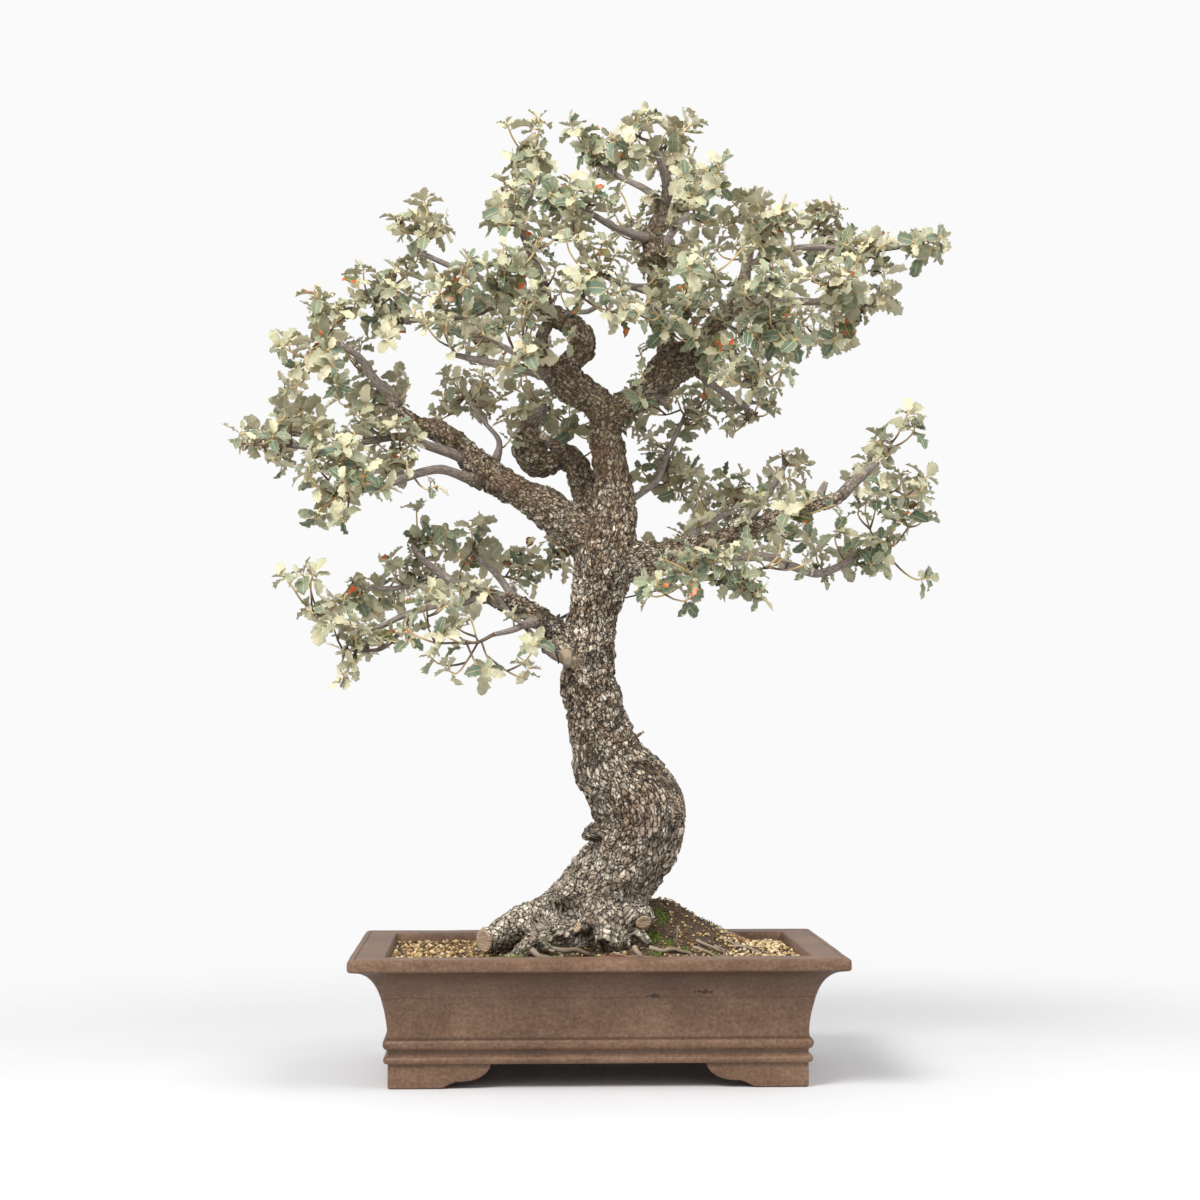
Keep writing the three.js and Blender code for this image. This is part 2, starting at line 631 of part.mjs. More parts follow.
function middleOf(points) {
  return points.reduce((sum, point) => sum.add(point), new THREE.Vector3()).divideScalar(points.length);
}

// One blade: a strip of three lengths given two alike faces and edge walls, open where it leaves the stem
function leafGeometry(root, out, tangent, rise, next) {
  const sheet = new THREE.PlaneGeometry(1, 1, LEAF.stations.length + 1, 1);
  const columns = LEAF.stations.length + 2;
  const length = next(...LEAF.length);
  const halfWidth = next(...LEAF.halfWidth);
  const curl = next(...LEAF.curl);
  const roll = next(-LEAF.roll, LEAF.roll);
  const wave = next(...LEAF.wave);
  const mirror = next(0, 1) > 0.5;
  const left = tangent.clone().cross(out);
  const start = middleOf(root);
  const points = [];
  for (const face of [1, -1]) {
    for (const side of [1, -1]) {
      for (let column = 0; column < columns; column += 1) {
        if (column === 0) {
          points.push(root[(face > 0 ? 0 : 2) + (side > 0 ? 0 : 1)]);
          continue;
        }
        const tip = column === columns - 1;
        const station = tip ? { left: [1, 0], right: [1, 0], wave: 0 } : LEAF.stations[column - 1];
        const [share, spread] = side > 0 !== mirror ? station.left : station.right;
        const chord = rise - (curl * share) / 2;
        const angle = rise - curl * share;
        const middle = start.clone()
          .addScaledVector(out, length * share * Math.cos(chord))
          .addScaledVector(tangent, length * share * Math.sin(chord));
        const normal = tangent.clone().multiplyScalar(Math.cos(angle))
          .addScaledVector(out, -Math.sin(angle));
        const turned = left.clone().multiplyScalar(Math.cos(roll * share))
          .addScaledVector(normal, Math.sin(roll * share));
        const up = normal.clone().multiplyScalar(Math.cos(roll * share))
          .addScaledVector(left, -Math.sin(roll * share));
        const lift = station.wave * wave * side + (tip ? 0 : (face * LEAF.thickness) / 2);
        points.push(middle.addScaledVector(turned, side * spread * halfWidth).addScaledVector(up, lift));
      }
    }
  }
  const faces = Array.from(sheet.index.array);
  const under = faces.map((vertex) => vertex + 2 * columns).reverse();
  const walls = [];
  for (let column = 0; column < columns - 1; column += 1) {
    for (const row of [0, 1]) {
      const a = row * columns + column;
      const [b, c, d] = [a + 1, a + 1 + 2 * columns, a + 2 * columns];
      walls.push(...(row === 0 ? [a, b, c, a, c, d] : [a, c, b, a, d, c]));
    }
  }
  const blade = new THREE.BufferGeometry().setFromPoints(points);
  blade.setIndex([...faces, ...under, ...walls]);
  return blade;
}

// A leafy stem from a limb to its tip, which is shifted a little further with each attempt
function spray([limbName, x, depth, z], number, attempt, taken) {
  const next = drawsFrom(STEM.seed + number * STEM.seedStep + attempt);
  const line = limbLine(limbName);
  const shift = STEM.scatter * attempt;
  const [shiftX, shiftY, shiftZ] = [next(-shift, shift), next(-shift, shift), next(-shift, shift)];
  const tip = placed([x, depth, z]).add(new THREE.Vector3(shiftX, shiftY, shiftZ));
  const share = nearestShare(line, tip, taken);
  const start = line.at(share);
  const span = tip.distanceTo(start);
  const middle = start.clone().lerp(tip, 0.5);
  middle.z += span * next(...STEM.bow);
  middle.x += span * next(-STEM.bend, STEM.bend);
  middle.y += span * next(-STEM.bend, STEM.bend);
  const route = new THREE.CatmullRomCurve3([start, middle, tip]);
  const length = route.getLength();
  const leafyLength = length - line.radius(share) - STEM.bareLength;
  const tiers = TIERS.filter((tier) => tier.back + STEM.tierHeight < leafyLength);
  const below = ({ back }) => 1 - (back + STEM.tierHeight) / length;
  const shares = [0, STEM.firstRing * below(tiers[0])];
  for (const tier of tiers) shares.push(below(tier), 1 - tier.back / length);
  const rings = shares.length;
  const frames = carriedFrames(route, shares);
  const firstTurn = next(0, 2 * Math.PI);
  const geometry = new THREE.CylinderGeometry(1, 1, 1, STEM.sides, rings - 1);
  const position = geometry.attributes.position;
  for (let i = 0; i < position.count; i += 1) {
    const ring = Math.round((position.getY(i) + 0.5) * (rings - 1));
    const tierNumber = Math.max(0, Math.floor(ring / 2) - 1);
    const tierTurn = firstTurn - (tierNumber * Math.PI) / STEM.sides;
    const turn = Math.atan2(position.getX(i), position.getZ(i)) + tierTurn;
    const flat = position.getX(i) ** 2 + position.getZ(i) ** 2;
    const radius = THREE.MathUtils.lerp(STEM.baseRadius, STEM.tipRadius, shares[ring]) * Math.sqrt(flat);
    const { centre, across, side } = frames[ring];
    const point = centre.clone()
      .addScaledVector(across, radius * Math.sin(turn))
      .addScaledVector(side, radius * Math.cos(turn));
    position.setXYZ(i, point.x, point.y, point.z);
  }
  const index = Array.from(geometry.index.array);
  const corner = (i) => new THREE.Vector3().fromBufferAttribute(position, i);
  const blades = [];
  const openings = new Set();
  tiers.forEach((tier, tierNumber) => {
    const row = rings - 2 - (2 + 2 * tierNumber);
    for (let column = 0; column < STEM.sides; column += 1) {
      const first = (column * (rings - 1) + row) * 6;
      const [upperRight, lowerRight, upperLeft] = [index[first], index[first + 1], index[first + 2]];
      const lowerLeft = index[first + 4];
      const root = [upperLeft, upperRight, lowerLeft, lowerRight].map(corner);
      const { centre, tangent } = frames[2 + 2 * tierNumber];
      const out = middleOf(root).sub(centre);
      out.addScaledVector(tangent, -out.dot(tangent)).normalize();
      blades.push(leafGeometry(root, out, tangent, next(...tier.rise), next));
      openings.add(first);
    }
  });
  const kept = [];
  for (let i = 0; i < index.length; i += 6) {
    if (!openings.has(i)) kept.push(...index.slice(i, i + 6));
  }
  geometry.setIndex(kept);
  geometry.deleteAttribute('normal');
  geometry.deleteAttribute('uv');
  geometry.clearGroups();
  return { body: solid(mergeGeometries([geometry, ...blades])), start, reach: line.radius(share) };
}

function boxesMeet(a, b) {
  const [p, q] = [a.boundingBox(), b.boundingBox()];
  return [0, 1, 2].every((axis) => p.min[axis] <= q.max[axis] && q.min[axis] <= p.max[axis]);
}

function meet(a, b) {
  return boxesMeet(a, b) && !a.intersect(b).isEmpty();
}

// Whether two faces of a body that share no corner pass through each other
function crossesItself(body) {
  const { vertProperties, triVerts } = body.getMesh();
  const faces = [];
  for (let i = 0; i < triVerts.length; i += 3) {
    const numbers = Array.from(triVerts.slice(i, i + 3));
    const corners = numbers.map((n) => new THREE.Vector3().fromArray(vertProperties, 3 * n));
    faces.push({ numbers, corners, box: new THREE.Box3().setFromPoints(corners) });
  }
  const pierces = ({ corners }, other) => corners.some((from, i) => {
    const edge = corners[(i + 1) % 3].clone().sub(from);
    const sight = new THREE.Ray(from, edge.clone().normalize());
    const hit = sight.intersectTriangle(...other.corners, false, new THREE.Vector3());
    return hit !== null && hit.distanceTo(from) < edge.length();
  });
  return faces.some((face) => faces.some((other) => {
    const apart = !face.numbers.some((n) => other.numbers.includes(n));
    return apart && face.box.intersectsBox(other.box) && pierces(face, other);
  }));
}

// Whether a spray meets the wood only where it grows from it
function meetsOnlyAtRoot({ body, start, reach }, woodRoom) {
  const { vertProperties: points } = body.intersect(woodRoom).getMesh();
  const limit = reach + STEM.rootSpread;
  for (let i = 0; i < points.length; i += 3) {
    if (start.distanceTo(new THREE.Vector3(...points.slice(i, i + 3))) > limit) return false;
  }
  return true;
}

// Sprays are drawn again, tip shifted a little, until each stands clear of the wood and of its neighbours
function sprays(woodRoom, wire) {
  const done = [];
  const taken = [];
  SPRAYS.forEach((place, number) => {
    for (let attempt = 0; attempt < STEM.attempts; attempt += 1) {
      const candidate = spray(place, number, attempt, taken);
      if (crossesItself(candidate.body) || !meetsOnlyAtRoot(candidate, woodRoom)) continue;
      const body = largestPiece(candidate.body.subtract(woodRoom));
      const clear = [...done, wire].every((other) => !meet(body, other));
      if (!clear) continue;
      done.push(body);
      taken.push(candidate.start);
      return;
    }
    throw new Error(`no clear place for spray ${number + 1}`);
  });
  return done;
}

const tree = new THREE.Group();

function addNode(name, body, look) {
  const material = new THREE.MeshStandardMaterial({ metalness: 0, flatShading: true, ...look });
  const mesh = new THREE.Mesh(geometryOf(body), material);
  mesh.name = name;
  tree.add(mesh);
}

const woodRoom = wood(CLEARANCE);
const wire = guyWire(woodRoom);

addNode('pot', pot(), COLOURS.clay);
addNode('drain_mesh_left', drainMesh(-1, 0), COLOURS.mesh);
addNode('drain_mesh_right', drainMesh(1, 0), COLOURS.mesh);
addNode('soil', soil(woodRoom), COLOURS.soil);
addNode('trunk_and_branches', largestPiece(wood(0)), COLOURS.bark);
addNode('guy_wire', wire, COLOURS.wire);

const leafLooks = [COLOURS.leafGrey, COLOURS.leafPale, COLOURS.leafGrey, COLOURS.leafGreen];
sprays(woodRoom, wire).forEach((body, i) => {
  addNode(`spray_${String(i + 1).padStart(2, '0')}`, body, leafLooks[i % leafLooks.length]);
});

// The origin is the middle of the whole plant's footprint, at the height of the feet
const bounds = new THREE.Box3().setFromObject(tree);
const middle = bounds.getCenter(new THREE.Vector3());
tree.position.set(-middle.x, -middle.y, -bounds.min.z);

export default tree;
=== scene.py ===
"""Holm oak bonsai in its clay pot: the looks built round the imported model, in metres."""

import functools
import logging
import math
import random
from collections.abc import Iterable, Sequence
from dataclasses import dataclass, field
from enum import Enum

import bmesh
import bpy
import numpy as np
from mathutils import Matrix, Vector, noise


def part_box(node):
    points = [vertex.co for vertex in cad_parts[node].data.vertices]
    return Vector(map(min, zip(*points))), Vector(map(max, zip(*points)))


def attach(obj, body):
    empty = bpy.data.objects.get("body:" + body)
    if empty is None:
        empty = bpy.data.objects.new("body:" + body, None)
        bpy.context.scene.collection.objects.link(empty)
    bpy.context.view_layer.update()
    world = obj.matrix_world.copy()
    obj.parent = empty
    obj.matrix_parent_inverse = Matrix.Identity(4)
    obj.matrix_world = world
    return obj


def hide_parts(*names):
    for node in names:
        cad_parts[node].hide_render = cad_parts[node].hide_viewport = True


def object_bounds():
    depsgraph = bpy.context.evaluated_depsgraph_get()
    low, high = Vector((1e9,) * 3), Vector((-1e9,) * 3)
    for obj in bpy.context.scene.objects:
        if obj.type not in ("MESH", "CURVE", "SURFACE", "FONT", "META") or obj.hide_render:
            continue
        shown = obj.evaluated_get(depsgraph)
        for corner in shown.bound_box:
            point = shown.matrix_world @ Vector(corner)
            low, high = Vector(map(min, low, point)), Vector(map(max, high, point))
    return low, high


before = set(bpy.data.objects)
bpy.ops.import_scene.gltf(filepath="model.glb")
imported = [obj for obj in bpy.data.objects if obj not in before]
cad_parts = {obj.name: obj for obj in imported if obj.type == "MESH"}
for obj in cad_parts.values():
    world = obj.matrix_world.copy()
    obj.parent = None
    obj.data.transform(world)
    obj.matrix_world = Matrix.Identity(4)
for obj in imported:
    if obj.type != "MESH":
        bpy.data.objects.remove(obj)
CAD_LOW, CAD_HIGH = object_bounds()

LOG = logging.getLogger("bonsai")
MM = 0.001
# Where the vector noise starts from, which is the clock unless a number is set
NOISE_SEED = 11
Colour = tuple[float, float, float, float]
Strand = tuple[tuple[tuple[float, float, float], ...], float, float]

# Limbs as (x, depth, z, radius) in millimetres, seen from the eye against the plane through the trunk
LIMBS: dict[str, list[tuple[float, float, float, float]]] = {
    "trunk": [
        (-14, 6, 80, 48), (-11, 6, 103, 55), (-6, 6, 136, 52), (6, 4, 160, 43), (21, 0, 184, 39.5),
        (38, -5, 211, 41), (45, -8, 240, 42), (33, -6, 264, 41), (16, -2, 287, 37), (7, 2, 313, 31),
        (1, 4, 340, 28), (-5, 4, 369, 27), (-4, 4, 397, 24), (-2, 4, 426, 23), (4, 4, 455, 26),
        (9, 4, 483, 29), (16, 4, 512, 25), (19, 4, 541, 20), (16, 4, 570, 17.5), (12, 3, 599, 16),
        (11, 0, 620, 15), (11, -2, 634, 12),
    ],
    "root_left": [
        (-8, 0, 160, 26), (-38, -12, 141, 19), (-68, -24, 129, 13), (-94, -32, 124, 10),
        (-108, -36, 122, 9),
    ],
    "root_front_left": [(-12, -18, 148, 24), (-38, -38, 128, 17), (-62, -52, 114, 11), (-82, -60, 100, 7)],
    "root_front": [(8, -16, 152, 26), (16, -38, 130, 20), (24, -56, 110, 12)],
    "root_right_stub": [(26, -18, 166, 16), (43, -30, 148, 11), (53, -37, 136, 9.5)],
    "root_right": [
        (22, 0, 158, 24), (50, 0, 131, 15), (80, -6, 118, 10), (110, -10, 108, 7), (130, -12, 98, 5),
    ],
    "root_back_right": [(22, 18, 158, 24), (46, 42, 130, 15), (70, 60, 112, 10), (88, 70, 98, 7)],
    "root_back_left": [(-10, 18, 160, 26), (-38, 40, 136, 17), (-64, 58, 114, 10)],
    "left_arm": [
        (9, 6, 487, 19), (-9, 6, 505, 21), (-33, 8, 525, 20), (-62, 12, 543, 16), (-88, 16, 557, 15),
        (-111, 20, 573, 15), (-128, 22, 592, 12), (-148, 24, 607, 10.5), (-171, 24, 613, 9),
        (-185, 22, 624, 7.5), (-196, 18, 640, 5.7), (-211, 10, 657, 4.3), (-225, 0, 677, 3.6),
        (-244, -12, 690, 2.8),
    ],
    "left_arm_mid": [
        (-119, 18, 577, 7.5), (-133, 12, 584, 5.2), (-157, 2, 592, 4.6), (-182, -8, 601, 4.2),
        (-215, -18, 597, 3.5), (-253, -26, 589, 3), (-289, -32, 592, 2.4),
    ],
    "left_arm_low": [
        (-108, 14, 558, 8.5), (-127, 2, 564, 5.2), (-148, -14, 570, 4.6), (-183, -42, 561, 4),
        (-207, -56, 551, 3.6),
    ],
    "left_arm_twig": [(-100, 18, 566, 7), (-91, 34, 596, 2.8), (-104, 46, 614, 2.4), (-119, 56, 634, 2.1)],
    "hidden": [
        (3, 26, 522, 14), (-6, 34, 541, 14), (-12, 38, 562, 13), (-21, 40, 581, 12), (-32, 42, 590, 9.5),
    ],
    "hidden_knob": [
        (-27, 42, 584, 10.5), (-42, 44, 576, 11), (-58, 46, 575, 11.5), (-68, 48, 589, 10.5),
        (-67, 48, 605, 9), (-57, 46, 618, 6.5), (-47, 44, 632, 3.4),
    ],
    "left_leader": [
        (13, 0, 614, 13.5), (5, -2, 630, 15), (-6, -4, 641, 16), (-23, -6, 652, 16), (-37, -6, 664, 14),
        (-43, -4, 676, 8.5),
    ],
    "left_burl": [
        (-33, -6, 660, 12.5), (-20, -8, 677, 12), (-10, -8, 691, 13), (-16, -6, 705, 11.5),
        (-31, -4, 714, 10.5), (-46, -2, 723, 9), (-68, 2, 733, 7.6), (-91, 6, 732, 6.6), (-112, 8, 723, 6),
        (-133, 6, 718, 5), (-158, 2, 716, 3.8), (-183, -4, 712, 2.8),
    ],
    "left_burl_side": [(-37, -2, 658, 9.5), (-46, 2, 676, 7.6), (-51, 2, 694, 6.6), (-44, 0, 712, 5.6)],
    "left_leader_rear": [
        (-46, -2, 723, 7.5), (-49, 8, 747, 5.7), (-57, 16, 769, 4.8), (-64, 20, 787, 4.2),
        (-71, 18, 807, 3.4), (-62, 12, 833, 2.8), (-56, 10, 858, 2.3),
    ],
    "left_leader_high": [
        (-81, 4, 733, 5.7), (-100, -6, 749, 4), (-127, -16, 761, 3.2), (-168, -24, 779, 2.3),
    ],
    "left_leader_low": [
        (-37, -8, 660, 8.5), (-60, -26, 665, 5.2), (-86, -38, 670, 4.2), (-133, -48, 680, 2.5),
    ],
    "left_leader_back": [(-20, 6, 649, 10), (-41, 38, 656, 5.6), (-64, 70, 676, 4.2), (-91, 96, 690, 3)],
    "left_leader_twig": [
        (-33, -6, 714, 5.6), (-20, -14, 722, 2.9), (-6, -22, 723, 2.5), (11, -32, 734, 2.1),
    ],
    "right_leader": [
        (8, 0, 612, 12.5), (23, -4, 629, 13.5), (40, -8, 637, 12.5), (56, -10, 649, 15), (71, -8, 666, 19),
        (90, -4, 678, 17), (106, 2, 694, 12.5), (119, 6, 712, 10), (133, 10, 727, 9), (142, 14, 745, 7.5),
        (147, 16, 768, 5.2), (152, 16, 791, 3.8), (157, 12, 817, 2.7),
    ],
    "right_stub": [(44, -12, 634, 8.5), (58, -20, 638, 6.2), (71, -26, 637, 5.3)],
    "right_leader_far": [
        (136, 10, 732, 6.6), (165, 2, 735, 4.6), (199, -8, 734, 3.8), (236, -16, 734, 3),
        (263, -22, 739, 2.3),
    ],
    "right_leader_tip": [
        (147, 16, 766, 4.8), (178, 26, 782, 3.8), (216, 30, 787, 3.2), (255, 22, 783, 2.9),
        (300, 6, 788, 2.1),
    ],
    "right_leader_low": [
        (102, -2, 688, 8.5), (125, -20, 683, 4.4), (148, -40, 677, 3.4), (169, -56, 668, 2.4),
    ],
    "right_leader_hang": [(96, 0, 673, 9.5), (113, 14, 654, 4.2), (133, 24, 639, 3.2), (148, 32, 630, 2.3)],
    "right_leader_back": [
        (125, 12, 717, 7.5), (139, 46, 735, 4.8), (152, 86, 745, 3.6), (170, 118, 739, 2.6),
    ],
    "crown": [
        (75, -6, 674, 10.5), (67, -2, 698, 9.6), (59, 4, 725, 9.6), (61, 8, 752, 9.6), (58, 10, 777, 12),
        (57, 10, 799, 8.5), (64, 10, 820, 6.6), (71, 8, 841, 5.6), (66, 4, 863, 4.2), (56, -2, 888, 2.6),
    ],
    "crown_left": [
        (54, 8, 793, 6.6), (40, -2, 797, 4.2), (19, -14, 805, 3.5), (0, -24, 816, 3), (-20, -32, 829, 2.3),
    ],
    "crown_high_left": [(66, 12, 828, 4.8), (49, 28, 842, 3.4), (27, 42, 853, 2.8), (5, 50, 866, 2.3)],
    "crown_high_right": [(71, 8, 845, 4.4), (91, -6, 853, 3.2), (108, -16, 861, 2.5)],
    "crown_back": [(59, 16, 771, 8.5), (67, 46, 787, 4.8), (79, 80, 805, 3.6), (90, 108, 818, 2.6)],
    "crown_front": [(61, 0, 744, 7.5), (44, -26, 746, 4.2), (25, -50, 750, 3.2), (11, -66, 757, 2.4)],
    "right_low": [
        (11, 2, 472, 17), (34, 0, 482, 18), (57, -2, 485, 17), (82, -4, 487, 15), (101, -4, 490, 11.5),
    ],
    "right_low_upper": [
        (92, -6, 493, 11.5), (123, -18, 505, 8), (155, -30, 517, 7.5), (188, -38, 530, 7),
        (215, -42, 538, 8), (235, -42, 544, 6.6), (248, -40, 557, 5.6), (264, -36, 571, 4.2),
        (277, -32, 583, 2.5),
    ],
    "right_low_stub": [(213, -42, 538, 5.6), (218, -40, 548, 4.3), (222, -38, 557, 3)],
    "right_low_lower": [
        (94, 2, 486, 10.5), (119, 14, 486, 5.7), (144, 24, 487, 4.8), (165, 30, 487, 4.4),
        (190, 36, 478, 4.4), (215, 42, 471, 4.2), (234, 44, 477, 3.8), (250, 46, 486, 3),
        (271, 46, 499, 2.3),
    ],
    "right_low_high": [(140, -24, 511, 6.6), (156, -10, 532, 3.8), (171, 4, 553, 3), (183, 12, 574, 2.3)],
    "right_low_front": [
        (96, -8, 486, 10), (105, -34, 480, 4.8), (121, -60, 474, 3.4), (136, -82, 469, 2.4),
    ],
    "right_low_back": [(86, 4, 493, 10), (96, 44, 507, 5.2), (113, 84, 522, 3.8), (134, 116, 530, 2.6)],
    "left_low": [
        (-6, 2, 380, 15.5), (-23, 0, 399, 14.5), (-40, -2, 418, 12.5), (-61, -4, 433, 11),
        (-82, -6, 442, 9.6), (-102, -8, 449, 8), (-119, -8, 454, 5.8), (-134, -8, 461, 5.2),
        (-147, -6, 470, 4.2), (-163, -2, 483, 3.2), (-174, 4, 496, 2.3),
    ],
    "left_low_long": [
        (-100, -8, 448, 6.6), (-124, -18, 443, 3.8), (-153, -28, 439, 3.2), (-182, -36, 430, 2.9),
        (-206, -40, 419, 2.7), (-233, -42, 417, 2.3), (-254, -40, 429, 2),
    ],
    "left_low_hang": [
        (-176, -34, 431, 3), (-187, -46, 412, 2.3), (-204, -56, 398, 2.1), (-222, -61, 396, 1.9),
    ],
    "left_low_far": [(-138, -6, 464, 4.8), (-163, 8, 462, 3.4), (-189, 20, 456, 2.8), (-218, 28, 456, 2.3)],
    "left_low_bare": [
        (-96, -12, 446, 5.6), (-81, -26, 433, 2.5), (-61, -30, 414, 2.5), (-42, -26, 393, 2.7),
        (-27, -14, 386, 3.8),
    ],
    "left_low_back": [(-69, 2, 436, 9.5), (-81, 40, 453, 4.2), (-94, 72, 470, 3.2), (-111, 96, 485, 2.4)],
    "left_low_front": [
        (-52, -8, 426, 9.5), (-65, -36, 422, 3.8), (-79, -62, 416, 2.8), (-96, -84, 412, 2.3),
    ],
    "rear_twig": [
        (27, 10, 538, 5.7), (44, 30, 547, 3.2), (61, 44, 561, 2.9), (70, 54, 586, 2.7), (84, 62, 615, 2.1),
    ],
}

# Where the eye stands, in millimetres from the middle of the pot's footprint
EYE = (-84.0, -2305.0, 341.0)

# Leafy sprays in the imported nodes' order: the limb that each grows from, then its tip as x, depth and z
SPRAYS: tuple[tuple[str, int, int, int], ...] = (
    ("left_arm_mid", -334, -44, 594), ("left_arm_mid", -289, -20, 622),
    ("left_arm_mid", -243, -66, 577), ("left_arm_low", -251, -92, 546),
    ("left_arm_low", -196, -10, 590), ("left_arm", -261, 10, 715), ("left_arm", -286, -52, 668),
    ("left_arm", -207, 44, 652), ("left_burl", -202, 4, 740), ("left_leader_high", -163, -8, 808),
    ("left_leader_high", -137, -60, 743), ("left_burl", -86, -62, 764),
    ("left_leader_low", -140, -62, 690), ("left_arm_twig", -127, 92, 644),
    ("left_leader_low", -64, -72, 695), ("left_leader_back", -119, 158, 704),
    ("hidden_knob", -60, 100, 640), ("left_leader_rear", -64, 0, 881),
    ("left_leader_rear", -87, -26, 825), ("crown_high_left", -6, 66, 888), ("crown", 36, -36, 900),
    ("crown", 75, 30, 892), ("crown_high_right", 124, -34, 871), ("crown_left", -37, -54, 835),
    ("crown_back", 92, 156, 840), ("crown_back", 44, 130, 800), ("crown_front", -4, -96, 758),
    ("crown", 92, -60, 735), ("right_leader", 147, 44, 836), ("right_leader", 178, -40, 805),
    ("right_leader_tip", 224, 62, 808), ("right_leader_tip", 269, -12, 798),
    ("right_leader_tip", 322, -14, 797), ("right_leader_far", 238, -56, 753),
    ("right_leader_far", 262, 6, 722), ("right_leader_low", 170, -88, 724),
    ("right_leader_low", 152, -70, 648), ("right_leader_hang", 150, 52, 616),
    ("right_leader_back", 189, 168, 706), ("rear_twig", 94, 86, 634), ("rear_twig", 67, 92, 570),
    ("left_low_long", -275, -44, 441), ("left_low_far", -231, 52, 464), ("left_low", -163, 28, 514),
    ("left_low_front", -126, -108, 407), ("left_low_hang", -240, -76, 398),
    ("left_low_back", -116, 148, 498), ("right_low_front", 142, -108, 455),
    ("right_low_back", 142, 170, 545), ("right_low_high", 181, 30, 590),
    ("right_low_upper", 287, -28, 600), ("right_low_lower", 291, 60, 500),
)

# Where the leaf pads are seen: left, right, low and high, in millimetres against the trunk's plane
PADS: tuple[tuple[int, int, int, int], ...] = (
    (-355, -291, 574, 613), (-310, -262, 598, 641), (-281, -186, 569, 617), (-272, -224, 522, 569),
    (-238, -171, 569, 656), (-296, -224, 660, 737), (-253, -171, 636, 670), (-229, -171, 703, 770),
    (-190, -133, 770, 823), (-171, -109, 713, 780), (-108, -52, 703, 780), (-147, -90, 656, 713),
    (-157, -71, 608, 665), (-90, -33, 617, 694), (-100, -33, 837, 895), (-109, -33, 770, 837),
    (-33, 25, 837, 909), (25, 101, 856, 914), (92, 139, 828, 875), (-33, 25, 780, 837),
    (25, 101, 770, 847), (-23, 44, 713, 789), (44, 120, 694, 770), (101, 178, 770, 837),
    (159, 245, 761, 828), (225, 340, 770, 808), (178, 283, 722, 780), (120, 197, 694, 761),
    (197, 264, 684, 732), (101, 178, 617, 703), (101, 144, 603, 646), (44, 101, 541, 646),
    (-4, 63, 598, 656), (-61, 6, 598, 636), (-291, -233, 407, 455), (-243, -186, 407, 483),
    (-195, -138, 483, 526), (-186, -119, 417, 483), (-167, -109, 383, 426), (-243, -176, 374, 417),
    (-128, -71, 455, 503), (-80, -23, 474, 507), (-86, -56, 373, 405), (44, 101, 483, 526),
    (44, 101, 445, 483), (92, 149, 503, 560), (139, 197, 541, 589), (144, 206, 483, 550),
    (101, 168, 445, 503), (206, 264, 464, 512), (246, 326, 541, 608), (246, 326, 464, 541),
)

# Windows of open air between the pads: x, z and radius, seen in the same way
WINDOWS: tuple[tuple[int, int, int], ...] = (
    (-168, 682, 19), (-165, 651, 13), (-181, 689, 11), (-171, 637, 10), (-130, 791, 10),
    (-26, 784, 12), (-147, 689, 12), (-267, 648, 10), (-58, 559, 12), (20, 684, 20), (11, 651, 8),
    (32, 694, 11), (58, 896, 7), (44, 846, 10), (32, 825, 6), (6, 813, 7), (129, 768, 9),
    (296, 780, 7), (81, 629, 10), (59, 529, 18), (222, 526, 12), (-104, 407, 19), (-47, 453, 11),
    (-90, 587, 7), (-119, 816, 10), (-152, 775, 5), (304, 493, 18), (278, 460, 12), (233, 457, 11),
    (137, 434, 15), (109, 455, 7), (160, 601, 21), (136, 584, 11), (-283, 407, 19), (-295, 445, 15),
    (-249, 457, 11), (-257, 386, 11), (-195, 522, 19), (-222, 529, 9), (-220, 482, 9),
    (-341, 577, 11), (-339, 629, 13), (-316, 627, 9), (-318, 575, 6), (304, 593, 16),
    (280, 625, 11), (256, 601, 7), (-31, 875, 13), (137, 864, 9), (-79, 888, 8), (304, 816, 11),
    (256, 818, 10), (256, 697, 7), (280, 721, 11), (329, 768, 8), (-174, 384, 9), (-126, 393, 12),
    (-79, 386, 8), (-198, 384, 7), (-198, 673, 8), (-294, 721, 11), (-7, 721, 6), (-102, 840, 7),
    (-102, 792, 7), (113, 601, 13), (-246, 482, 12), (-150, 529, 11), (-270, 458, 8),
    (280, 816, 12), (-102, 864, 10), (17, 912, 10), (208, 458, 12), (184, 601, 9), (137, 888, 11),
    (208, 601, 11), (328, 816, 11), (-246, 410, 7), (-126, 410, 8), (-150, 434, 6), (-7, 721, 8),
    (113, 888, 11), (184, 577, 6),
)

# Places between the sprays that hold a whorl of their own: x and z, seen in the same way
TUFTS: tuple[tuple[int, int], ...] = (
    (89, 768), (107, 778), (120, 759), (137, 789), (92, 793), (67, 780), (-33, 747), (-37, 768),
    (-8, 793), (-27, 793), (187, 510), (208, 503), (233, 514), (256, 508), (160, 548), (42, 689),
    (45, 665), (44, 641), (44, 573), (-197, 696), (-176, 652), (-79, 602), (183, 671), (279, 768),
    (237, 768), (233, 722), (-58, 791), (-103, 459), (-126, 457), (-54, 457), (-174, 409),
    (-151, 554), (-199, 554), (113, 816), (-27, 698), (63, 759), (92, 536), (208, 763), (233, 696),
    (113, 671), (-245, 650), (-56, 407), (86, 854), (92, 828), (51, 837), (74, 812), (44, 721),
    (-79, 434), (69, 742), (101, 522), (124, 533), (144, 526), (164, 541), (187, 535), (208, 543),
    (231, 537), (144, 506), (174, 516), (92, 498),
)


class Side(Enum):
    """The two ends of the pot."""

    LEFT = -1
    RIGHT = 1


